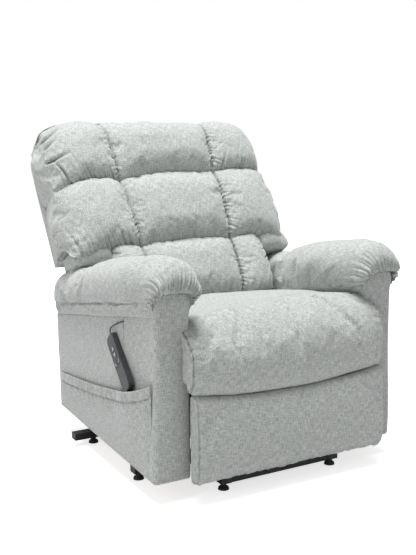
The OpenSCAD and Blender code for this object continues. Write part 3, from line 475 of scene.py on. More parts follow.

# %% [markdown]
# ## Filling with air
# Stuffing pushes a cover out evenly while the seams hold it back, which is what Blender's Cloth
# does with pressure. The skin is simulated at half its detail with its seams pinned, the
# movement is capped, and the finer grid takes the same movement.

# %% Swell a skin with the Cloth modifier


def finer(coarse, m, n):
    """A movement on every second point, filled in between."""
    rows = np.zeros((m, coarse.shape[1], 3))
    rows[::2] = coarse
    rows[1::2] = (rows[:-1:2] + rows[2::2]) / 2
    full = np.zeros((m, n, 3))
    full[:, ::2] = rows
    full[:, 1::2] = (rows + np.roll(rows, -1, 1)) / 2
    return full


def swell(name, grid, held, cap, pressure=4.0, slack=0.03, frames=18):
    m, n = grid.shape[:2]
    rough = grid[::2, ::2]
    rings, count = rough.shape[:2]
    points = np.vstack([rough.reshape(-1, 3), rough[0].mean(0), rough[-1].mean(0)])
    flip = ((rough - points.mean(0)) * ring_normals(rough)).sum() > 0
    thing = write_mesh(name + "_swelling", points, skin_faces(rings, count, flip), None, cover_cloth)
    pins = thing.vertex_groups.new(name="seams")
    weights = np.r_[held[::2, ::2].ravel(), held[0].mean() > 0.5, held[-1].mean() > 0.5]
    for k in np.nonzero(weights > 0.02)[0]:
        pins.add([int(k)], float(min(weights[k], 1)), "REPLACE")
    cloth = thing.modifiers.new("cover", "CLOTH")
    cloth.settings.quality = 4
    cloth.settings.mass = 0.2
    cloth.settings.tension_stiffness = cloth.settings.compression_stiffness = 18
    cloth.settings.shear_stiffness = 8
    cloth.settings.bending_stiffness = 0.4
    cloth.settings.use_pressure = True
    cloth.settings.uniform_pressure_force = pressure
    cloth.settings.shrink_min = -slack
    cloth.settings.vertex_group_mass = "seams"
    cloth.settings.effector_weights.gravity = 0
    cloth.point_cache.frame_end = frames
    for number in range(1, frames + 1):
        scene.frame_set(number)
    shaped = thing.evaluated_get(bpy.context.evaluated_depsgraph_get()).to_mesh()
    moved = np.empty(len(points) * 3)
    shaped.vertices.foreach_get("co", moved)
    moved = (moved.reshape(-1, 3) * 1000 - points)[: rings * count].reshape(rings, count, 3)
    bpy.data.objects.remove(thing)
    scene.frame_set(1)
    far = np.linalg.norm(moved, axis=2, keepdims=True)
    moved = moved * cap / np.maximum(cap, far)
    print(f"{name}: swelled by up to {far.max():.1f} mm, kept to {cap} mm")
    return grid + finer(moved, m, n)


print("simulation", "on")

# %% [markdown]
# ## Sizes that the pieces share
# The arms slope, the back leans and the seat falls to the rear, so small functions give the lines
# that everything is sewn to: the seam and the hem of an arm, the top of the seat, the channels
# sewn into the back, and a place on the leaning back from its width, its height along the back
# and its depth.

# %% The chair's main lines
arm_front_y, arm_length = -481.0, 764.0
outer_x, inner_x, arm_x = 425.0, 309.0, 367.0
seat_front_z, seat_fall = 548, math.tan(math.radians(8.6))
back_lean, back_foot_y, back_foot_z = math.radians(33), 6, 470
row_half, wing_s, arm_space = 422.4, 250, 300


def down_the_arm(y, front_z, rear_z):
    """A height that changes evenly from the arm's front to its rear."""
    return front_z + (np.asarray(y, float) - arm_front_y) / arm_length * (rear_z - front_z)


def arm_seam(y):
    return down_the_arm(y, 542, 419)


def arm_hem(y):
    return down_the_arm(y, 63, 88)


def seat_top(y):
    return seat_front_z - (np.asarray(y, float) - arm_front_y) * seat_fall


def on_back(x, s, t):
    """Points of the leaning back: x across, s up along it, t behind its seams."""
    x, s, t = np.broadcast_arrays(np.asarray(x, float), s, t)
    return np.stack([x, back_foot_y + s * math.sin(back_lean) + t * math.cos(back_lean),
                     back_foot_z + s * math.cos(back_lean) - t * math.sin(back_lean)], -1)


def column_seam(s, x=1.0):
    """How far from the middle the sewn channel runs, at a distance up the back."""
    return 158 + 38 * np.asarray(s, float) / 728 + 13 * (np.asarray(x) < 0)


def even(*parts):
    """Join lines of points and drop repeats."""
    line = np.vstack(parts)
    keep = np.r_[True, np.linalg.norm(np.diff(line, axis=0), axis=1) > 1e-6]
    return line[keep]


def run_length(grid, axis):
    step = np.linalg.norm(np.diff(grid, axis=axis), axis=2)
    zero = np.zeros_like(np.take(grid[..., 0], [0], axis=axis))
    return np.concatenate([zero, np.cumsum(step, axis=axis)], axis=axis)


def own_as(thing, body, *nodes, slot="fabric", fill=None):
    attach(thing, body)
    if nodes:
        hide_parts(*nodes)
    print(thing.name, len(thing.data.vertices), "points, rides on", body)
    return thing


print("seam along the arm from", arm_seam(arm_front_y), "down to", arm_seam(arm_front_y + arm_length), "mm")

# %% [markdown]
# ## The back's three rows
# Each row is one long fibre-filled pillow, sewn through in two upright channels, so it reads as
# three cushions. The fill sinks, so every pillow is fullest low down and hangs over the crease
# below it. The seams gather the cover: short tucks stand square to each channel, longer ones rise from
# the bottom seam, and pleats fan in from the ends where the cover turns the corner.

# %% Draw the creases between the rows
creases = {
    "low": (18.0, [0], [0]),
    "lower": (228.0, [-430, -330, -250, -176, -90, 0, 90, 182, 240, 330, 430],
              [-40, -13, -3, -15, 0, 5, 3, -9, 4, 3, -22]),
    "upper": (501.0, [-430, -390, -300, -240, -196, -110, 0, 100, 190, 260, 340, 430],
              [-66, -48, -24, -22, -42, -14, -3, -3, -10, 1, 1, -14]),
    "high": (732.0, [-430, -300, -196, 0, 196, 300, 430], [0, 4, -3, 4, -3, 4, 0])}


def crease(which, x):
    """Where two rows meet, as a distance up the back: each cushion's top arches between its seams."""
    base, xs, rise = creases[which]
    if len(rise) > 2:
        rise = np.convolve(np.r_[rise[:1], rise, rise[-1:]], (0.15, 0.7, 0.15), "valid")
    return base + np.interp(x, xs, rise)


print("creases at", [place for place, xs, rise in creases.values()], "mm up the back")

# %% [markdown]
# The rings of a row are cross-sections from one end to the other. Each has a crowned front and a flat
# back, and past the row's width they shrink into a dome that closes the end. Where a wide row reaches
# over the arms, its rear is pushed away from the path of the back as it reclines.

# %% Draw the rings of a row
ring_front, ring_back, end_rings = 96, 44, 18
hinge_y, hinge_z = 84, 443
pad_angles = (-40, -30, -20, -10, 0, 8, 16, 30)
pad_reaches = (246, 218, 194, 182, 187, 204, 224, 231)


def clear_of_arms(grid):
    """Push what would meet an arm pad as the back goes down away from the hinge bolt."""
    y, z = grid[..., 1] - hinge_y, grid[..., 2] - hinge_z
    need = np.interp(np.degrees(np.arctan2(y, z)), pad_angles, pad_reaches)
    more = 1 + ease((np.abs(grid[..., 0]) - 286) / 16) * (np.maximum(need / np.hypot(y, z), 1) - 1)
    return np.stack([grid[..., 0], hinge_y + y * more, hinge_z + z * more], -1)


def row_stations(half, corner, bulge, lobe):
    """The place of each ring, and how far its whole, its rear and its crown shrink there."""
    step = np.linspace(-1, 1, 241)
    x = half * np.sign(step) * (1 - (1 - np.abs(step)) ** 1.2)
    inset = 1 - np.sqrt(1 - np.clip((np.abs(x) - half + corner) / corner, 0, 1) ** 2 * 0.97)
    turn = np.linspace(0, 1, end_rings + 1)[1:]
    dome = half + 1.5 * turn + bulge * ease(turn * 1.15)
    closing = np.clip(1 - turn, 0.015, 1)
    last = closing * (1 - 0.10 * inset[-1])
    whole = np.r_[closing[::-1] * (1 - 0.10 * inset[0]), 1 - 0.10 * inset, last]
    rear = np.r_[closing[::-1], np.ones(len(x)), last] if lobe else whole
    crown = np.r_[np.full(end_rings, inset[0]), inset, np.full(end_rings, inset[-1])]
    return np.r_[-dome[::-1], x, dome], whole, rear, crown


def row_rings(low, high, half, puff, seed, stations, lobe, top_roll=0.0, round_top=0.0, droop=0.0, pull=0.0):
    """The row's points, with their distance up the back and their depth in it."""
    x, whole, rear, flatten = stations
    a = np.radians(np.linspace(180, 540, 541))[None, :]
    X = x[:, None] + 0 * a
    e = np.clip(np.abs(X) / half, 0, 1)
    c, q = np.cos(a), np.sin(a)
    lower, upper = crease(low, X) - 7, crease(high, X) + (7 if high != "high" else 0)
    S = (lower + upper) / 2 + (upper - lower) / 2 * signed_power(c, 0.80)
    if round_top:
        share = np.clip((e - 0.60) / 0.40, 0, 1)
        S = lower + (S - lower) * (1 - np.where(X < 0, 0.5, 1) * round_top * (1 - np.sqrt(1 - share ** 2)))
    front = np.clip(-q, 0, 1)
    seam_x = column_seam(S, X)
    off = np.abs(X) - seam_x
    outer = np.clip(off / (half - seam_x), 0, 1)
    inner = np.clip(np.abs(X) / seam_x, 0, 1)
    crown = np.clip(np.where(off < 0, 1 - inner ** 2.4, 1 - np.abs(1.9 * outer - 0.9) ** 2.4), 0, 1)
    fill = 0.70 + 0.30 * crown ** 0.6 - 0.07 * np.exp(-(off / 24) ** 2) - 0.13 * np.exp(-(off / 6) ** 2)
    fill = fill * (1 + 0.04 * drift(X + 500, S, 140, seed))
    reach = 57 + (lobe - 57) * (X < -422) if lobe else 57 + 0 * X
    T = np.where(q < 0, -puff * fill * front ** 0.78 * (1 - 0.92 * flatten[:, None]) + 4,
                 4 + (reach - 4) * np.clip(q, 0, 1) ** 0.4)
    T = T + top_roll * np.clip(c, 0, 1) ** 2.4 * (q < 0.1)
    hang = front ** 1.2 * (1 - 0.75 * np.clip(c, -1, 1))
    S = S - (7 + 8 * crown) * hang
    if droop:
        S = S - droop * np.clip((e - 0.72) / 0.28, 0, 1) ** 1.4 * front ** 0.5 * np.clip(0.7 - c, 0, 1.7) / 1.7
    s_mid, t_mid = (lower + upper) / 2, 18.0 + (lobe - 57) * 0.55 * (lobe > 0) * (X < 0)
    behind = ease((q + 0.5) / 0.8)
    share = whole[:, None] * (1 - behind) + rear[:, None] * behind
    S, T = s_mid + (S - s_mid) * share, t_mid + (T - t_mid) * share
    end_x = X - pull * np.clip(X / half, 0, 1) ** 3 - 8 * (lobe > 0) * np.clip(-X / half, 0, 1) ** 3
    dense = np.concatenate([on_back(end_x, S, T), S[..., None], T[..., None]], 2)
    dense = np.array([np.vstack([spaced(line[:271], ring_front + 1)[:-1], spaced(line[270:], ring_back + 1)[:-1]])
                      for line in dense])
    return dense[..., :3], dense[..., 3], dense[..., 4]


print(ring_front + ring_back, "points in each ring of a row")

# %% [markdown]
# The needlework comes after the swelling. Tucks rise from the bottom seam and hang from the top one, two
# combs of them stand against each channel, and the ends get pleats that are placed one by one, because
# the eye goes there.

# %% Press the tucks and sew the rows


def row_tucks(u, v, off, side_of, span, half, low, seed, end_pleats, gathers):
    """How deep the gathered cloth lies at each point of a row."""
    long_span = float(span[len(span) // 2, 0])
    seam_u = column_seam(creases[low][0]).item()
    weak, strong = gathers
    bottom = tucks(seed + 1, -seam_u + 10, seam_u - 10, 24, 52, 5.5 * weak, 4.6, base=26)
    for start, stop, power in ((-half + 30, -seam_u - 6, strong), (seam_u + 6, half - 30, weak)):
        bottom += tucks(seed + 6, start, stop, 13, 72 + 56 * power, 11.0 * power, 4.6, base=30,
                        lean=0.4 * (1 if start > 0 else -1))
    top = tucks(seed + 2, -half + 60, half - 50, 36, 46, 4.0, 4.4, base=20)
    press = valleys(u, v, bottom) + valleys(u, span - v, top)
    clear = ease((v - 18) / 50)
    for way, other in ((-1, 3), (1, 4)):
        lines = tucks(seed + other, 12, long_span - 8, 15, 46, 7.5, 4.0, base=1, turn=True, lean=-0.3)
        fade = np.clip(1.25 - v / long_span, 0.25, 1) * strong * clear
        press += (side_of == way) * valleys(off, v, lines) * fade
        lines = tucks(seed + other + 5, 12, long_span - 8, 17, 32, 5.5, 3.8, base=-1, way=-1, turn=True, lean=-0.25)
        press += (side_of == way) * valleys(off, v, lines) * fade * 0.7
    return press + valleys(u, v, [
        (way * (half - 4), share * long_span, way * (half - 4 - reach_in), (share + rise) * long_span, deep, wide)
        for way, share, rise, reach_in, deep, wide in end_pleats])


def pillow_row(name, low, high, half, puff, seed, lobe, corner, bulge, gathers, end_pleats, **shape):
    stations = row_stations(half, corner, bulge, lobe)
    grid, s_here, t_here = row_rings(low, high, half, puff, seed, stations, lobe, **shape)
    x, whole = stations[:2]
    X = np.repeat(x[:, None], ring_front + ring_back, 1)
    off = np.abs(X) - column_seam(s_here, X)
    front = np.clip(np.sin(np.pi * np.arange(ring_front) / ring_front) * 3.0, 0, 1)
    front = np.r_[front, np.zeros(ring_back)][None, :] + 0 * X
    round_end = np.cumsum(np.r_[0, np.hypot(np.diff(x), 100 * np.diff(whole))])
    u = np.repeat((round_end - round_end[len(x) // 2])[:, None], X.shape[1], 1)
    v = run_length(grid, 1)
    held = np.clip(1 - front + np.exp(-(off / 8) ** 2) + (np.abs(X) > half * 0.985) * (lobe == 0), 0, 1)
    for rows, rim, way in ((slice(0, end_rings), end_rings, -1), (slice(-end_rings, None), -end_rings - 1, 1)):
        u[rows] = u[rim, 0] + way * (t_here[rows] + 12)
        v[rows] = s_here[rows] - s_here[rim, 0]
    grid = swell(name, grid, held, 12, pressure=3.2)
    normal = outward(grid)
    press = row_tucks(u, v, off, np.sign(X), v[:, ring_front][:, None], half, low, seed, end_pleats, gathers)
    soft = 2.6 * drift(u + 900, v, 72, seed + 20) + 1.2 * drift(u + 900, v, 31, seed + 21)
    groove = 6.5 * np.exp(-(off / 2.8) ** 2)
    grid = grid - normal * ((press + groove) * front + soft * front * np.clip(np.abs(off) / 40, 0, 1))[..., None]
    if lobe:
        grid = clear_of_arms(grid)
    thing = skin(name, grid, u, v, painted_shade=painted_crease_shade(press * front + groove * 0.9 * front, 5.0))
    own_as(thing, "back", name.replace("pillow", "back"), fill=0.55)


# A pleat at an end: side, share of the height, its rise, its length, its depth and its width
top_pleats = ((-1, 0.30, 0.10, 78, 15, 6), (-1, 0.44, 0.20, 70, 9, 5), (-1, 0.55, 0.26, 96, 15, 7),
              (-1, 0.66, 0.30, 84, 12, 6), (-1, 0.78, 0.28, 92, 14, 7), (-1, 0.90, 0.2, 60, 9, 6),
              (1, 0.25, 0.05, 60, 6, 6), (1, 0.6, 0.12, 70, 6, 7))
middle_pleats = ((1, 0.30, 0.10, 60, 5, 7), (-1, 0.2, 0.05, 70, 5, 7))
bottom_pleats = (tuple((1, 0.36 + 0.1 * k, 0.02 * (k % 3), 46 + 9 * (k % 2), 8 + k % 3, 4.6) for k in range(6))
                 + tuple((-1, 0.3 + 0.12 * k, 0.03, 44, 6, 5) for k in range(4)))
pillow_row("pillow_row_top", "upper", "high", row_half, 74, 11, lobe=150, corner=96, bulge=24,
           gathers=(0.8, 1.0), end_pleats=top_pleats, top_roll=62, round_top=0.46, pull=30)
pillow_row("pillow_row_middle", "lower", "upper", row_half, 74, 32, lobe=138, corner=112, bulge=15,
           gathers=(0.45, 1.0), end_pleats=middle_pleats, droop=34, pull=15)
pillow_row("pillow_row_bottom", "low", "lower", arm_space, 60, 53, lobe=0, corner=44, bulge=6,
           gathers=(0.6, 0.6), end_pleats=bottom_pleats)

# %% [markdown]
# The bottom row has an ear on each side, a soft roll between the wing of the back and the arm. It fills
# what is left between them, and when the back reclines it is pressed up flat.

# %% Stuff the two ears


def pad_top(y):
    """The crown line of an arm pad."""
    return np.interp(y, (-450, -441, -390, -337, -220, -117, 16, 177, 250, 290),
                     (700, 701, 702, 696, 675, 652, 615, 580, 562, 548))


def above_pad(x, t):
    """How far up the back the arm pad's surface is met, at x and t."""
    across = np.clip(np.abs(np.abs(x) - 375.5) / 66.5, 0, 0.995)
    level = (1 - across ** 2.5) ** 0.4
    s = 170.0 + 0 * t
    for again in range(8):
        y = back_foot_y + s * math.sin(back_lean) + t * math.cos(back_lean)
        mid = arm_seam(y) + (pad_top(y) - arm_seam(y)) * 0.46
        s = (mid + (pad_top(y) - mid) * level + 5 - back_foot_z + t * math.sin(back_lean)) / math.cos(back_lean)
    return np.maximum(s, 168)


def ear(name, way, seed):
    m, n = 75, 132
    e = np.linspace(0, 1, m)
    x = 284 + 135 * (1 - (1 - e) ** 1.25)
    end = np.clip((x - 392) / 27, 0, 1)
    close = np.sqrt(np.clip(1 - end ** 2, 0.02, 1))
    rings = []
    for at, share in zip(x, close):
        top = 256 - 26 * (np.clip(at - 297, 0, 122) / 122) ** 1.5 - 14 * np.clip((297 - at) / 25, 0, 1)
        front = np.interp(at, (284, 300, 322, 350, 417), (-16, -28, -36, -34, -14))
        t_low = np.linspace(148, -2, 50)
        low = above_pad(np.array(at), t_low)
        low = np.minimum(low, top - 6)
        a = np.radians(np.linspace(-90, 90, 60))
        mid, tall = (top + low[-1]) / 2, (top - low[-1]) / 2
        nose = np.c_[mid + tall * np.sin(a), -2 + (front + 2) * np.cos(a) ** 0.8]
        line = even(np.c_[low, t_low], nose, spaced([[top, -2], [256, 148]], 40), spaced([[256, 148], [low[0], 148]], 8))
        line = spaced(line, n + 1)[:-1]
        centre = np.array([(top + low[-1]) / 2, 0])
        rings.append(centre + (line - centre) * (0.3 + 0.7 * share))
    rings = np.array(rings)
    X = np.repeat(x[:, None], n, 1)
    grid = on_back(X, rings[..., 0], rings[..., 1])
    u, v = X, run_length(grid, 1)
    normal = outward(grid)
    show = np.clip((40 - rings[..., 1]) / 20, 0, 1)
    folds = tucks(seed, 290, 414, 10, 56, 6.5, 3.8, base=4) + tucks(seed + 1, 290, 414, 17, 74, 6.0, 4.4, base=4)
    from_top = 258 - rings[..., 0]
    press = valleys(u, from_top, folds)
    grid = grid - normal * ((press + 1.6 * drift(u, v, 40, seed + 2)) * show)[..., None]
    thing = skin(name, grid * (way, 1, 1), u, v, painted_shade=painted_crease_shade(press * show, 5.0))
    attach(thing, "back")
    tuple(on_back(0, 256, 0) / 1000)
    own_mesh(thing)
    print(name, len(thing.data.vertices), "points")


for side_name, way in (("left", 1), ("right", -1)):
    ear("ear_" + side_name, way, 171)

# %% [markdown]
# ## The back's outer cover
# Behind the pillows one cover is pulled over the frame: a flat panel that turns round the edges and runs
# forward as a narrow wall, where a piped seam meets the pillows. It is drawn as rings that
# grow from the middle of the panel out over the edge and return inside, so it is one closed skin.

# %% Stretch the outer back


def back_outline(inset):
    """The outline of the outer back as (x, s), wide above the arms and narrow between them."""
    half, narrow = 421 - inset, arm_space - inset
    low, step, top, r = 24 + inset, wing_s + inset, 718 - inset, 130 - inset * 0.7
    turn = np.radians(np.linspace(0, 90, 14))
    corner = np.stack([half - r + r * np.cos(turn), top - r + r * np.sin(turn)], 1)
    right_half = even(spaced([[0, low], [narrow, low]], 24), spaced([[narrow, low], [narrow, step]], 22),
                      spaced([[narrow, step], [half, step]], 12), spaced([[half, step], [half, top - r]], 40),
                      corner, spaced([[half - r, top], [0, top]], 30))
    return even(right_half, (right_half * (-1, 1))[::-1])[:-1]


rim_line = back_outline(0)
has_wall = (rim_line[:, 1] > wing_s - 0.5).astype(float)
wall_front = 159 - 101 * has_wall
rings = []
middle = np.array((0, 400))
for share in (0.02, 0.15, 0.3, 0.45, 0.6, 0.75, 0.86, 0.93, 0.97):
    ring = middle + (back_outline(4) - middle) * share
    rings.append(np.c_[ring, np.full(len(ring), 181.5 + 2.0 * (1 - share ** 4))])
for turn in np.radians([0, 22, 45, 68, 90]):
    ring = back_outline(9 * (1 - math.sin(turn)))
    rings.append(np.c_[ring, np.full(len(ring), 183.5 - 9 * (1 - math.cos(turn)))])
for share in (0.2, 0.4, 0.6, 0.8, 0.95, 1.0):
    rings.append(np.c_[back_outline(0), 174.5 + (wall_front - 174.5) * share])
for share in (0.0, 0.5, 1.0):
    rings.append(np.c_[back_outline(5), wall_front + (165 - wall_front) * share * has_wall + 1])
for share in (0.97, 0.02):
    rings.append(np.c_[middle + (back_outline(14) - middle) * share, np.full(len(rim_line), 165.0)])
rings = np.array(rings)
back_grid = on_back(rings[..., 0], rings[..., 1], rings[..., 2])
away = np.roll(rim_line, -1, 0) - np.roll(rim_line, 1, 0)
away = np.c_[away[:, 1], -away[:, 0]] / np.linalg.norm(away, axis=1, keepdims=True)
u, v = np.moveaxis(rings[..., :2] + away[None] * (183.5 - rings[..., 2:]), 2, 0)
ripple = 1.6 * drift(u + 700, v, 90, 71) + 0.8 * drift(u + 700, v, 34, 72)
ripple[18:] = 0
back_grid = back_grid - outward(back_grid) * (ripple * 0.6)[..., None]
own_as(skin("outer_back", back_grid, u, v), "back", "back_shell", fill=0.2)


# %% [markdown]
# The seams of the outer back are piped: a cord in a strip of the cover is sewn in between. A thicker
# roll fills the corner between the wall and the pillows. Plain strips close the wings from below
# and the lower back's sides, which show when the back is down.

# %% Pipe the seams and close the sides


def piping(name, line, r=2.6, closed=False, body="chair"):
    """A sewn cord edging along a line of points."""
    n = 8 if r < 5 else 20
    if closed:
        ahead, behind = np.roll(line, -1, 0), np.roll(line, 1, 0)
    else:
        ahead, behind = np.vstack([line[1:], line[-1:]]), np.vstack([line[:1], line[:-1]])
    t = ahead - behind
    t /= np.linalg.norm(t, axis=1, keepdims=True)
    a = np.cross(t, (0.3, 0.2, 1.0)); a /= np.linalg.norm(a, axis=1, keepdims=True)
    b = np.cross(t, a)
    turn = 2 * np.pi * np.arange(n) / n
    grid = line[:, None] + r * (np.cos(turn)[None, :, None] * a[:, None] + np.sin(turn)[None, :, None] * b[:, None])
    m = len(line)
    u = np.repeat(np.r_[0, np.cumsum(np.linalg.norm(np.diff(line, axis=0), axis=1))][:, None], n, 1)
    v = np.repeat((turn * r)[None], m, 0)
    if closed:
        faces = [(i * n + j, ((i + 1) % m) * n + j, ((i + 1) % m) * n + (j + 1) % n, i * n + (j + 1) % n)
                 for i in range(m) for j in range(n)]
        cloth = np.stack([u.ravel(), v.ravel(), 0 * u.ravel()], 1)
        thing = write_mesh(name, grid.reshape(-1, 3), faces, cloth, cover_cloth)
    else:
        thing = skin(name, grid, u, v)
    own_as(thing, body)


def lining_strip(name, face, inward, thick, u, v, body):
    """A thin flat piece of the cover, with its second face further along `inward`."""
    own_as(sheet(name, face, np.broadcast_to(np.array(inward, float), face.shape), thick, u, v), body)


for side_name, way in (("left", 1), ("right", -1)):
    wing_x, wing_t = np.meshgrid(np.linspace(300, 421, 40), np.linspace(56, 166, 30), indexing="ij")
    lining_strip("wing_under_" + side_name, on_back(wing_x * way, 248.7, wing_t),
                 on_back(0, 1, 0) - on_back(0, 0, 0), 1.6, wing_x, wing_t, "back")
    side_s, side_t = np.meshgrid(np.linspace(63, 248, 30), np.linspace(58, 162, 16), indexing="ij")
    lining_strip("back_side_" + side_name, on_back(298 * way, side_s, side_t), (-way, 0, 0), 1.5, side_s, side_t, "back")

edge = back_outline(0)
wall_edge = edge[edge[:, 1] > wing_s - 0.5]
piping("back_front_piping", on_back(wall_edge[:, 0], wall_edge[:, 1], 131.5), 2.8, body="back")
roll_edge = back_outline(13)
roll_edge = roll_edge[roll_edge[:, 1] > 263.5]
piping("back_edge_roll", on_back(roll_edge[:, 0], roll_edge[:, 1], 51), 14.0, body="back")
rear_edge = back_outline(2.2)
piping("back_rear_piping", on_back(rear_edge[:, 0], rear_edge[:, 1], 181.4), 2.4, closed=True, body="back")

# %% [markdown]
# ## The seat
# The seat cushion is a T: wide in front of the arms, where it rolls over and hangs down, and
# narrow between them. Its rings are side views, from one end to the other. The rear part of each
# ring runs down the back of the wide end's ears, so the step of the T needs no cutting.

# %% Draw the seat's side views
seat_front_part, seat_rear_part = 74, 54
seat_half, seat_neck = 335, 306


def seat_profile(x):
    e = min(abs(x) / seat_half, 1)
    ear = abs(x) > seat_neck + 0.4
    flat = e ** 2 if ear else (x / seat_neck) ** 2
    high = 13 * (1 - e ** 2.2) - 5
    drop = 26 * e ** 2.6
    end = max(0.0, (abs(x) - 322) / 13)
    tuck = 9 * (1 - math.sqrt(max(0, 1 - end ** 2)))
    lip = through([(-440, 547 + high), (-462, 544 + high), (-486, 536 + high), (-508, 522 + high),
                   (-527, 502 + high * 0.8), (-541, 476 + high * 0.4), (-549.5, 446), (-552.5, 412),
                   (-551, 366 + drop * 0.4), (-545, 326 + drop), (-535, 304 + drop), (-523, 299 + drop),
                   (-514.5, 309 + drop), (-512, 332 + drop * 0.5), (-500, 345), (-487, 350), (-483.5, 376),
                   (-483, 412)], 8)
    lip[:, 0] += flat * 6 * np.clip((-500 - lip[:, 0]) / 30, 0, 1)
    front = spaced(lip, seat_front_part)
    start_z = float(front[0][1])
    if ear:
        rear = [front[-1], (-482.6, 430), (-482.4, 480), (-482.2, start_z - 22), (-476, start_z - 6), front[0]]
    else:
        deck = np.array([(y, 412 - (y + 467) * 0.075 + 0.4) for y in np.linspace(-470, -12, 18)])
        back = through([(-9, 379), (-5, 420), (-8, 455), (-22, float(seat_top(-22)) + high * 0.4 - 4),
                        (-50, float(seat_top(-50)) + high)], 5)
        tops = [(y, float(seat_top(y)) + high * (1 + 0.25 * math.sin(math.pi * (y + 470) / 420)))
                for y in np.linspace(-80, -448, 18)]
        rear = even(front[-1:], deck, back, np.array(tops), front[:1])
    line = np.vstack([front, spaced(rear, seat_rear_part + 2)[1:-1]])
    sunk = 25 - 11 * min(max(x / 300, -1), 1)
    line[:, 1] -= sunk * ease((line[:, 1] - 400) / 120) * ease((-90 - line[:, 0]) / 250)
    if tuck:
        middle = np.array([-512, 440])
        line = line + (middle - line) / np.linalg.norm(middle - line, axis=1, keepdims=True) * tuck
    return line


def side_views(profile, half, steps_in, inner, count):
    """Rings from a profile at each x: close together at the two ends, and `count` even ones between."""
    ends = half - np.array(steps_in)
    across = np.r_[-ends, np.linspace(-inner, inner, count), ends[::-1]]
    lines = np.array([profile(x) for x in across])
    return np.concatenate([np.repeat(across[:, None, None], lines.shape[1], 1), lines], 2)


seat_grid = side_views(seat_profile, seat_half, [0, 0.6, 2.2, 5, 9, 14, 20, 26.5, 28.4], seat_neck, 101)
print("seat:", seat_grid.shape[0], "side views of", seat_grid.shape[1], "points")

# %% [markdown]
# Stuffing swells the seat's top and its lip. After that the front corners get their fan of tucks, where the
# cover is drawn round the ear of the T, and a piped edge is pressed in beside each end.

# %% Fill the seat cushion
u, v = seat_grid[..., 0].copy(), run_length(seat_grid, 1)
y_before = seat_grid[..., 1].copy()
show = np.zeros(seat_grid.shape[1]); show[:60] = 1; show[seat_front_part + 24:] = 1
show = np.clip(np.convolve(np.r_[show[-4:], show, show[:4]], np.ones(9) / 9, "valid"), 0, 1)[None, :]
held = (1 - show) + np.clip((np.abs(u) - 296) / 10, 0, 1) + np.clip((392 - seat_grid[..., 2]) / 30, 0, 1)
seat_grid = swell("seat_cushion", seat_grid, np.clip(held, 0, 1), 14, pressure=3.0)
corner_fan = ((40, 50, 12, 4.6, 5), (62, 74, 22, 6.5, 6), (86, 58, -6, 5.4, 5), (108, 66, 14, 6.0, 5.5),
              (134, 52, 20, 5.0, 5), (176, 46, 8, 3.2, 6), (226, 50, -16, 3.4, 7))
front_tucks = [(way * 331, at, way * (331 - far), at + rise, deep, wide)
               for way in (-1, 1) for at, far, rise, deep, wide in corner_fan]
press = valleys(u, v, front_tucks + tucks(81, -310, 310, 34, 46, 2.6, 7, base=236, way=-1))
press = press + 5.5 * np.exp(-((np.abs(u) - 330) / 2.6) ** 2)
press = press + 5 * np.exp(-((y_before + 318 + 0.10 * (u - 250)) / 9) ** 2) * ease((u + 60) / 200)
soft = 2.4 * drift(u + 800, v, 110, 82) + 1.4 * drift(u + 800, v, 46, 83) + 0.6 * drift(u + 800, v, 22, 84)
seat_grid = seat_grid - outward(seat_grid) * ((press + soft) * show)[..., None]
own_as(skin("seat_cushion_cover", seat_grid, u, v, painted_shade=painted_crease_shade(press * show, 7.0), flat_ends=(1, 2)),
       "chair", "seat_cushion", fill=0.8)

# %% [markdown]
# ## The legrest
# A flat board under a thin layer of foam: the front is gently crowned, the edges turn sharply and a
# boxing strip closes the sides.

# %% Pad the legrest
legrest_half = 329


def legrest_profile(x):
    e = min(abs(x) / legrest_half, 1)
    end = max(0.0, (abs(x) - 315) / 14)
    tuck = 9 * (1 - math.sqrt(max(0, 1 - end ** 2)))
    top, low = 297.5 + 25 * e ** 2.6 - tuck, 58 + tuck
    full = 1 - 0.55 * e ** 3
    line = through([(-511, top - 2), (-526, top), (-540, top - 6), (-549, top - 22), (-551.5 - 2 * full, top - 60),
                    (-552 - 5 * full, 200), (-551.5 - 2 * full, low + 55), (-548, low + 20), (-539, low + 5),
                    (-526, low), (-511, low + 2), (-509.5, low + 40), (-509.5, 200), (-509.5, top - 40),
                    (-511, top - 2)], 9)
    line = spaced(line, 113)[:-1]
    line[:, 0] += tuck * 0.8 * np.clip((-520 - line[:, 0]) / 20, 0, 1)
    return line


grid = side_views(legrest_profile, legrest_half, [0, 0.5, 1.8, 4, 7.5, 12, 18], 304, 85)
u = grid[..., 0].copy()
grid[..., 0] *= np.where(grid[..., 0] < 0, 0.985, 1.035)
v = run_length(grid, 1)
front = np.clip((-514 - grid[..., 1]) / 14, 0, 1)
held = 1 - front + (np.abs(u) > 318) + np.clip((grid[..., 2] - 264) / 20, 0, 1)
grid = swell("legrest_pad", grid, np.clip(held, 0, 1), 6, pressure=2.0)
edge_tucks = (tucks(91, -300, 300, 30, 34, 2.0, 6, base=16) + tucks(92, -300, 300, 36, 36, 2.2, 6, base=262, way=-1)
              + tucks(93, 30, 240, 34, 44, 2.6, 6, base=-322, way=1, turn=True)
              + tucks(94, 30, 240, 34, 44, 2.6, 6, base=322, way=-1, turn=True))
press = valleys(u, v, edge_tucks) + 4.5 * np.exp(-((np.abs(u) - 324) / 2.4) ** 2)
soft = 1.8 * drift(u + 800, v, 120, 95) + 0.9 * drift(u + 800, v, 44, 96)
grid = grid - outward(grid) * ((press + soft) * front)[..., None]
own_as(skin("legrest_cover", grid, u, v, painted_shade=painted_crease_shade(press * front), flat_ends=(1, 2)), "legrest", "legrest_pad", fill=0.7)

# %% [markdown]
# ## The arm pads
# An arm pad is a sack of fibre that is sewn to the arm along both sides and drawn over the arched
# front. The rings are cross-sections that run forward along the arm, and then close in on the arch's
# edge like the mouth of a bag, bulging forward on the way. Along the outer foot a stitched band
# stands upright, as wide as three fingers.

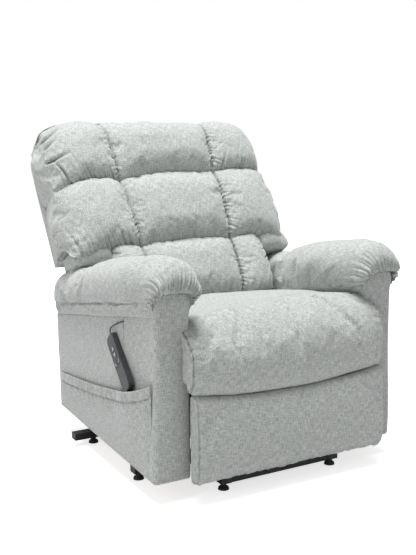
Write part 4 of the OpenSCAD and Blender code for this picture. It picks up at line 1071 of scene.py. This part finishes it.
# %% Draw one arm pad's sections
hood_steps, pad_ring_top, pad_ring_under = 44, 148, 12
pad_outer = 442
foot_shape = np.array([[1, 1], [0.93, 0.7], [0.62, 0.34], [0.2, 0.12], [0.04, 0.05], [-0.03, 0.0]])


def pad_foot(seam_x, edge_x, low, mid):
    """From the pad's widest line down and in to where it is sewn on."""
    return through(np.c_[seam_x + (edge_x - seam_x) * foot_shape[:, 0], low + 0.3 + (mid - low - 0.3) * foot_shape[:, 1]], 8)


def pad_band(outer, low, mid):
    """The outer foot where the stitched band stands."""
    band = min(44.0, 0.62 * (mid - low))
    edge = min(outer - 4, 428.5)
    return through([(outer, mid), (outer - 0.5, mid - 0.35 * (mid - low - band)), (outer - 5, low + band + 5),
                    (edge - 2.5, low + band), (edge, low + band - 6), (edge + 0.5, low + band * 0.5),
                    (edge - 0.5, low + 8), (edge - 3.5, low + 3.5), (edge - 6.5, low + 0.3)], 8)


def share_of(value):
    return ease(np.array(value)).item()


def pad_section(y, band_share=1.0):
    """The pad's outline at y, from the inner bottom edge over the top to the outer bottom edge."""
    rear = min(max((285 - y) / 60, 0), 1)
    tail = math.sqrt(1 - (1 - rear) ** 2)
    low = float(arm_seam(y)) - 0.2
    top = float(pad_top(y)) - (1 - tail) * 55
    inner = inner_x - 31 * (1 - share_of((y + 300) / 350))
    outer = pad_outer - (1 - tail) * 22 - 11 * share_of((-300 - y) / 150)
    mid = low + (top - low) * 0.46
    xm, half = (inner + outer) / 2, (outer - inner) / 2
    a = np.radians(np.linspace(-90, 270, 721))
    c, s = np.cos(a), np.sin(a)
    over = np.c_[xm + half * signed_power(c, 0.8), mid + (top - mid) * np.clip(s, 0, 1) ** 0.8][s >= 0][::-1]
    over = over[over[:, 1] > mid]
    inner_foot = pad_foot(min(309.6, inner + 60), inner, low, mid)[::-1]
    outer_foot = pad_foot(425.2, outer, low, mid)
    line = plain = spaced(np.vstack([inner_foot, over, outer_foot]), pad_ring_top)
    if band_share > 0:
        banded = spaced(np.vstack([inner_foot, over, pad_band(outer, low, mid)]), pad_ring_top)
        line = plain + (banded - plain) * band_share
    narrow = 13 * share_of((-250 - y) / 200)
    return line - np.c_[narrow * ease((line[:, 0] - 330) / 80), 0 * line[:, 0]]


def arch_line():
    """The edge of the arched front as (x, z), from the inner side over the top to the outer side."""
    half = through([(57.9, 540), (59, 553), (64, 570), (67.5, 583), (67, 593), (61, 601), (48, 605.5),
                    (24, 607.5), (0, 608)], 10)
    line = np.vstack([half * (-1, 1), half[::-1][1:]]) + (arm_x, 0)
    return spaced(line, pad_ring_top)


print("an arm pad is", round(pad_outer - pad_section(-400)[:, 0].min()), "mm wide at its front")

# %% [markdown]
# The hood over the arch is drawn as forty-four more rings. Each lies further from the last full
# section and nearer to the arch, on half a turn, so the cloth rolls over the front and comes back.

# %% Roll the pad over the arch
ring_mm = 430


def pad_grid():
    ys = np.r_[285 - np.array([0, 1.5, 5, 10, 17, 26, 37, 50]), np.linspace(220, -440, 92)]
    rings = []
    for y in ys:
        line = pad_section(y, share_of((y + 440) / 60) * share_of((278 - y) / 30))
        rings.append(np.c_[line[:, 0], np.full(len(line), y), line[:, 1]])
    full = pad_section(-446, 0.0)
    full = np.c_[full[:, 0], np.full(len(full), -446.0), full[:, 1]]
    arch = arch_line()
    lag = 15 * ease((arch[:, 0] - 406) / 30) ** 2
    arch = np.c_[arch[:, 0] - 13 * ease((arch[:, 0] - 330) / 80), -480.4 + lag, arch[:, 1]]
    th = np.linspace(0, 1, pad_ring_top)
    full_front = ease((np.minimum(th, 1 - th) * ring_mm - 6) / 84)
    for k in range(hood_steps + 1):
        turn = math.pi * k / hood_steps
        ring = full + (arch - full) * (1 - math.cos(turn)) / 2
        ring[:, 1] -= 46 * math.sin(turn) * full_front
        ring[:, 2] += 4 * math.sin(turn) * full_front
        rings.append(ring)
    steps = np.linspace(0, 1, pad_ring_under + 2)[1:-1, None]
    under = [ring[-1] + (ring[0] - ring[-1]) * steps for ring in rings]
    return np.concatenate([np.array(rings), np.array(under)], 1)


arm_grid = pad_grid()
u = np.r_[np.linspace(0, ring_mm, pad_ring_top), np.linspace(ring_mm, 540, pad_ring_under)]
u = np.repeat(u[None], len(arm_grid), 0)
along = run_length(arm_grid, 0)
v = along[-1][None, :] - along
under = np.arange(arm_grid.shape[1]) >= pad_ring_top
held = np.repeat((under | (u[0] < 26) | (np.abs(ring_mm - u[0]) < 26))[None], len(arm_grid), 0).astype(float)
held[-5:] = held[:3] = 1
arm_grid = swell("arm_pad", arm_grid, held, 10, pressure=2.6)

# %% [markdown]
# The cover is wider than the arch, so its front edge is gathered into thirty-one long pleats with short ones
# between. One pad is worked, and its mirror image makes the other.

# %% Pleat the pads
rng = np.random.default_rng(7)
pleats = []
for k in range(31):
    at = 15 + k * (400 / 30) + rng.uniform(-3, 3)
    middle = share_of((min(at, ring_mm - at) - 15) / 80)
    pleats.append((at, 0, at + rng.uniform(-8, 8) + (at - 215) * 0.08, rng.uniform(70, 110) + 50 * middle,
                   (8.5 + 4 * middle) * rng.uniform(0.8, 1.15), rng.uniform(3.8, 5.0)))
for k in range(22):
    at = 56 + k * 15 + rng.uniform(-5, 5)
    pleats.append((at, 0, at + rng.uniform(-6, 6), rng.uniform(26, 52), rng.uniform(4, 6), rng.uniform(3.4, 4.6)))
press = valleys(u, v, pleats) * ease((np.minimum(u, ring_mm - u) - 3) / 16) * np.clip(v / 12, 0, 1)
ring_scale = run_length(arm_grid[:, :pad_ring_top], 1)[:, -1:] / ring_mm
band_seam = np.exp(-(((ring_mm - u) * ring_scale - 47) / 3.2) ** 2)
press += 4.0 * band_seam * np.clip((v - 60) / 60, 0, 1)
press += valleys(u, v, tucks(61, 60, 800, 46, 34, 2.2, 7, base=ring_mm - 48, way=-1, turn=True)
                 + tucks(62, 60, 800, 46, 34, 2.2, 7, base=48, way=1, turn=True))
soft = 2.4 * drift(u + 300, v + 300, 95, 63) + 1.2 * drift(u + 300, v + 300, 40, 64)
press *= ~under[None, :]
arm_grid = arm_grid - outward(arm_grid) * (press + soft * np.clip(v / 6, 0, 1) * ~under[None, :])[..., None]
for name, way in (("left", 1), ("right", -1)):
    pad = skin("arm_pad_cover_" + name, arm_grid * (way, 1, 1), u, v + (0 if way > 0 else 37),
               painted_shade=painted_crease_shade(press, 7.0), flat_ends=(0, 2))
    own_as(pad, "chair", "arm_pad_" + name, fill=0.75)

# %% [markdown]
# ## The arm covers
# One piece of cloth wraps each arm: up the inner side, round the arched front and back along the
# outer side, with no seam at the soft front corner. It is a sheet bent along its plan, and its
# top edge follows the pads' seam, then the arch. On the sitter's right a slit lets the
# handset's lead through.

# %% A sheet with a slit


def sheet_with_hole(name, grid, inward, thick, u, v, hole=(), painted_shade=None):
    """A sheet without the quads in `hole`; the slit's edges are closed like the outer ones."""
    m, n = grid.shape[:2]
    both, cloth = doubled(grid, inward, thick, u, v, painted_shade)
    o, gone = m * n, set(hole)
    faces, edges = [], {}
    for i in range(m - 1):
        for j in range(n - 1):
            if (i, j) in gone:
                continue
            a = i * n + j
            quad = (a, a + 1, a + n + 1, a + n)
            faces.append(quad)
            faces.append(tuple(o + k for k in quad[::-1]))
            for p, q in zip(quad, quad[1:] + quad[:1]):
                edges[(p, q)] = True
    for p, q in [e for e in edges if (e[1], e[0]) not in edges]:
        faces.append((q, p, o + p, o + q))
    if (ring_normals(grid, False) * inward).sum() > 0:
        faces = [f[::-1] for f in faces]
    used = np.zeros(2 * o, bool)
    used[np.array(faces).ravel()] = True
    order = np.cumsum(used) - 1
    faces = [tuple(int(order[k]) for k in f) for f in faces]
    return write_mesh(name, both[used], faces, cloth[used], cover_cloth)


print("sheets can have a slit")

# %% Wrap the arms
slit_y, slit_z = (-297.6, -292.4), (446, 508)
corner_y, rear_y = -466, 283


def arm_plan(slit):
    """The cover's line seen from above; the slit gets two points of its own."""
    turn = np.radians(np.linspace(0, 90, 10))
    stops, counts = (corner_y, *slit_y, rear_y) if slit else (corner_y, rear_y), (26, 2, 90) if slit else (116,)
    outer_side = even(*(spaced([[outer_x, start], [outer_x, stop]], count)
                        for start, stop, count in zip(stops, stops[1:], counts)))
    return even(spaced([[inner_x, 276], [inner_x, -475]], 60),
                np.c_[315 - 6 * np.cos(turn), -475 - 6 * np.sin(turn)],
                spaced([[315, arm_front_y], [410, arm_front_y]], 34),
                np.c_[410 + 15 * np.sin(turn), corner_y - 15 * np.cos(turn)],
                outer_side)


def arm_cover(name, way, slit=False):
    plan = arm_plan(slit)
    px, py = plan[:, 0], plan[:, 1]
    on_face = py < corner_y + 0.1
    arch = 606.5 - 18 * np.clip(np.abs(px - arm_x) / 58, 0, 1) ** 5
    top = np.where(on_face, np.maximum(arch, arm_seam(py)), arm_seam(py)) + np.where(px > 424, 2.6, -0.6)
    low = np.where(on_face, 63.0, np.where(px < 312, 300.0, arm_hem(py)))
    low = np.where((px < 312) & ~((px < 316) & on_face), 300.0, low)
    rows = np.r_[0, 0.006, 0.02, 0.045, 0.08, np.linspace(0.12, 0.86, 44), 0.9, 0.94, 0.965, 0.985, 1][:, None]
    Z = low[None] + (top - low)[None] * rows
    grid = np.stack([px[None] + 0 * Z, py[None] + 0 * Z, Z], 2)
    length = np.r_[0, np.cumsum(np.linalg.norm(np.diff(plan, axis=0), axis=1))]
    t = np.gradient(plan, axis=0); t /= np.linalg.norm(t, axis=1, keepdims=True)
    out = np.c_[t[:, 1], -t[:, 0]]
    out *= np.sign(((plan - (arm_x, -100)) * out).sum(1))[:, None]
    out = np.concatenate([np.repeat(out[None], len(rows), 0), np.zeros((len(rows), len(plan), 1))], 2)
    u, hang = np.repeat(length[None], len(rows), 0), float(length[-1])
    from_top, from_hem = top[None] - Z, Z - low[None]
    rise = np.sin(np.pi * np.clip(rows, 0, 1)) ** 0.5
    face_share = np.clip((px - inner_x) / (outer_x - inner_x), 0, 1)
    side_share = np.clip((py - corner_y) / (rear_y - corner_y), 0, 1)
    face_puff = np.where(on_face, 5.0 * np.sin(np.pi * face_share) ** 0.7, 0.0)[None] * rise
    side_puff = np.where((px > 424.9) & (py > corner_y), 1.2 * np.sin(np.pi * side_share) ** 0.5, 0.0)[None] * rise
    press = valleys(u, from_top, tucks(141, 60, hang - 40, 52, 60, 2.4, 9, lean=0.25))
    press = press * np.where(on_face, 0.35, 1.0)[None]
    press = press + valleys(u, from_hem, tucks(142, 20, hang - 20, 60, 40, 1.8, 9))
    soft = 1.7 * drift(u, Z, 150, 143) + 0.8 * drift(u, Z, 60, 144)
    roll = -3.0 * np.exp(-from_hem / 4) - 2.0 * np.exp(-from_top / 4)
    grid = grid + out * (face_puff + side_puff - press * rise + soft * rise * 0.8 + roll)[..., None]
    grid[..., 0] += 7 * np.where(on_face, 1.0, 0.0)[None] * ease((Z - 538) / 46) * (px - arm_x)[None] / 58
    grid[..., 0] -= 13 * ease((Z - 90) / 330) * (ease((-250 - py) / 200) * ease((px - 330) / 80))[None]
    hole = ()
    if slit:
        column = int(np.argmin(np.abs(py - slit_y[0]) + (px < 424) * 999))
        middle_z = (Z[:-1, column] + Z[1:, column]) / 2
        hole = [(int(i), column) for i in np.nonzero((middle_z > slit_z[0]) & (middle_z < slit_z[1]))[0]]
    return sheet_with_hole(name, grid * (way, 1, 1), -out * (way, 1, 1), 9.0, u, Z, hole, painted_shade=painted_crease_shade(press * rise))


for name, way in (("left", 1), ("right", -1)):
    own_as(arm_cover("arm_cover_" + name, way, slit=way < 0),
           "chair", "side_panel_" + name, "arm_front_" + name, "arm_liner_" + name, fill=0.2)

# %% [markdown]
# From behind, a plain panel of the cover's cloth closes the end of each arm, and a dark skirt is
# stapled over the lower rear panel and reaches up behind the back. A strip of cloth covers each end
# of the legrest's board.

# %% Close the rear and edge the legrest's board


def flat_cover(name, xs, zs, y, puff, finish):
    """A cloth panel in the plane at y, puffed a little in its middle."""
    x, z = np.meshgrid(np.linspace(*xs, 40), np.linspace(*zs, 60), indexing="ij")
    middle = np.sin(np.pi * np.linspace(0, 1, 40))[:, None] ** 0.5 * np.sin(np.pi * np.linspace(0, 1, 60))[None] ** 0.5
    grid = np.stack([x, y + puff * middle + 0.7 * drift(x + 900, z, 55, 161) * middle, z], 2)
    thing = sheet(name, grid, np.broadcast_to(np.array([0, -1.0, 0]), grid.shape), 2.0, x, z, finish)
    own_as(thing, "chair", slot="lining" if finish is lining_cloth else "fabric")


for side_name, way in (("left", 1), ("right", -1)):
    flat_cover("arm_rear_" + side_name, (310 * way, 424.4 * way), (88.5, 418), 285.6, 2.0, cover_cloth)
flat_cover("rear_skirt", (-307, 307), (176, 386), 285.4, 1.2, lining_cloth)

board_low, board_high = (np.array(corner) * 1000 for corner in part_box("legrest_board"))
for side_name, way in (("left", 1), ("right", -1)):
    y, z = np.meshgrid(np.linspace(-509.3, -496.4, 8), np.linspace(board_low[2] - 1, board_high[2] + 1, 50),
                       indexing="ij")
    strip = np.stack([np.full_like(y, way * (board_high[0] + 1.6)), y, z], 2)
    lining_strip("board_edging_" + side_name, strip, (-way, 0, 0), 1.2, y, z, "legrest")

# %% [markdown]
# ## The side pocket
# The pocket is one sheet, sewn down at its foot and ends. Its mouth has an elastic in a casing, so
# the cloth is gathered into many fine folds that fade below the stitching, and it stands away
# from the panel where the handset is pushed in.

# %% Hang the side pocket
pocket_front, pocket_length = -462, 724


def pocket_mouth(y):
    """The height of the pocket's edge: it falls to the rear and sags between its ends."""
    f = (np.asarray(y, float) - pocket_front) / pocket_length
    return 352 + (219 - 352) * f - 28 * np.sin(np.pi * np.clip(f, 0, 1) ** 0.6)


cols, rows = 286, 74
F, V = np.linspace(0, 1, cols)[None, :], (1 - (1 - np.linspace(0, 1, rows)) ** 1.15)[:, None]
Y = pocket_front + pocket_length * F + 0 * V
low = arm_hem(Y) + 10
Z = low + (pocket_mouth(Y) - low) * V
wide = np.sin(np.pi * np.clip(F, 0, 1)) ** 0.6
rise = ease(1.4 * V)
bulge = (8 * wide + 14 * np.exp(-((Y + 350) / 90) ** 2) * np.minimum(1, 2 * wide)) * rise
down = pocket_mouth(Y) - Z
pleat = np.sin(2 * np.pi * (Y + 4 * drift(Y, 0 * Y, 25, 151)) / 8.4)
pleat = pleat * (0.55 + 0.45 * drift(Y + 99, 0 * Y, 13, 152))
band = np.clip(down / 3, 0, 1) * np.clip((34 - down) / 3, 0, 1)
stitch = np.exp(-((down - 33) / 1.7) ** 2)
below = np.exp(-np.clip(down - 33, 0, None) / 26) * (down > 30)
gather = 3.0 * pleat * (0.9 * band + below) + 1.0 * np.sin(2 * np.pi * Y / 21 + 2 * drift(Y, 0 * Y, 60, 153)) * below
folds = valleys(Y, down, tucks(154, -440, 250, 24, 78, 2.4, 5.5, base=34)) * wide
X = 425.6 + bulge + 1.5 * band - 2.1 * stitch + gather * wide - folds + 1.2 * drift(Y, Z, 55, 155) * rise * wide
X = np.maximum(X, 425.5) + 1.2 + 1.8 * np.clip(wide * 3, 0, 1)
X = X - 4.5 * ease(1 - (Y - pocket_front) / 26)
pocket_grid = np.stack([-X, Y, Z], 2)
inward = np.zeros_like(pocket_grid); inward[..., 0] = 1
shadow = np.clip(painted_crease_shade(folds + 1.4 - gather * wide, 5.0) * (down < 90) + 0.8 * stitch, 0, 1)
pocket = sheet_with_hole("side_pocket_cloth", pocket_grid, inward, 2.6, Y + 500, Z, painted_shade=shadow)
own_as(pocket, "chair", "side_pocket")

# %% [markdown]
# ## The handset's marks and its lead
# The keys carry plain arrows and blocks, moulded a little proud. The lead is soft flex: it
# leaves the handset's top, falls in a loose bend, and goes into the arm through the slit.

# %% Mark the keys
lean, mark_top = math.radians(43), 18.15


def on_handset(x, y, z):
    """Points of the handset: x from its foot to its top, y across, z out of its face."""
    return (-425.7 - z, -350 + y * math.cos(lean) + x * math.sin(lean), 310 - y * math.sin(lean) + x * math.cos(lean))


def key_mark(name, key, outline):
    """A mark on a key: a low plate whose top is a little smaller than its foot."""
    kx, ky = key
    layers = ((17.75, 1), (mark_top, 1), (mark_top, 0.86))
    grid = np.array([[on_handset(kx + a * share, ky + b * share, z) for a, b in outline] for z, share in layers])
    flat = np.zeros(grid.shape[:2])
    return skin(name, grid, flat, flat, mark_paint)


def rounded(points, r=0.5, per=5):
    """A closed outline with its corners cut round."""
    p = np.asarray(points, float)
    out = []
    for before, at, after in zip(np.roll(p, 1, 0), p, np.roll(p, -1, 0)):
        a = at + (before - at) / np.linalg.norm(before - at) * r
        b = at + (after - at) / np.linalg.norm(after - at) * r
        for t in np.linspace(0, 1, per):
            out.append((1 - t) ** 2 * a + 2 * t * (1 - t) * at + t * t * b)
    return out


arrow_up = rounded([(-6.4, -7.4), (-6.4, 7.4), (6.8, 0)], 1.2)
arrow_down = rounded([(6.4, 7.4), (6.4, -7.4), (-6.8, 0)], 1.2)
chair_back = rounded([(-5.4, -4.6), (-5.4, 3.8), (-2.6, 3.8), (-2.6, -1.4), (5.6, -3.4), (5.6, -6.4)], 0.6)
chair_legs = rounded([(-5.4, 4.6), (-5.4, -3.8), (-2.6, -3.8), (-2.6, 1.4), (5.6, 3.4), (5.6, 6.4)], 0.6)
for name, key, outline in (("raise", (141, 0), arrow_up), ("lower", (119, 0), arrow_down),
                           ("back", (94, -11.5), chair_back), ("legs", (94, 11.5), chair_legs)):
    own_as(key_mark("mark_" + name, key, outline), "button_" + name, slot="key_plastic")

# %% Lay the lead
lead_route = [(-434, -223.64, 445.5), (-434, -220.2, 449.1), (-434, -217, 454), (-434, -216, 459), (-434, -218, 464),
              (-433, -222, 469), (-432, -228, 473), (-431, -235, 477), (-430, -243, 481), (-429, -252, 485),
              (-428.4, -262, 489), (-428, -272, 493), (-428, -281, 495.5), (-427.5, -288, 497.5),
              (-425, -292.5, 499), (-420, -294.5, 500), (-413, -295, 500), (-407.3, -295, 500)]
lead_radius = 0.002
lead_points = [tuple(c / 1000 for c in p) for p in lead_route]
lead_curve = bpy.data.curves.new("handset_flex", "CURVE")
lead_curve.dimensions = "3D"
spline = lead_curve.splines.new("POLY")
spline.points.add(len(lead_points) - 1)
for point, place in zip(spline.points, lead_points):
    point.co = (*place, 1)
lead_curve.bevel_depth = lead_radius
lead_curve.bevel_resolution = 4
lead_curve.use_fill_caps = True
lead_curve.materials.append(moulded_black)
lead = bpy.data.objects.new("handset_flex", lead_curve)
scene.collection.objects.link(lead)
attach(lead, "chair")
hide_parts("handset_lead")
lead_length = sum(math.dist(a, b) for a, b in zip(lead_points, lead_points[1:]))
print("lead", round(lead_length * 1000), "mm")

# %% [markdown]
# ## The floor, and the end
# The floor is a wide pale sheet. Under the lamps alone it would be a light grey, so it also glows a
# little, but only for the camera: its ground turns white, the shadow stays, and no extra light
# reaches the chair.

# %% Lay the floor and finish
floor = Finish("pale_floor")
to_camera = floor.add("LightPath")
matt = floor.add("BsdfDiffuse", {}, {"Color": (0.75, 0.75, 0.755, 1)})
glow = floor.add("Emission", {}, {"Color": (1, 1, 1, 1), "Strength": to_camera * 0.72})
floor.add("OutputMaterial", {}, {"Surface": floor.add("AddShader", {}, {0: matt, 1: glow})})
floor_mesh = bpy.data.meshes.new("floor")
floor_mesh.from_pydata([(-8, -8, 0), (8, -8, 0), (8, 8, 0), (-8, 8, 0)], [], [(0, 1, 2, 3)])
floor_mesh.materials.append(floor.material)
floor_thing = bpy.data.objects.new("floor", floor_mesh)
scene.collection.objects.link(floor_thing)
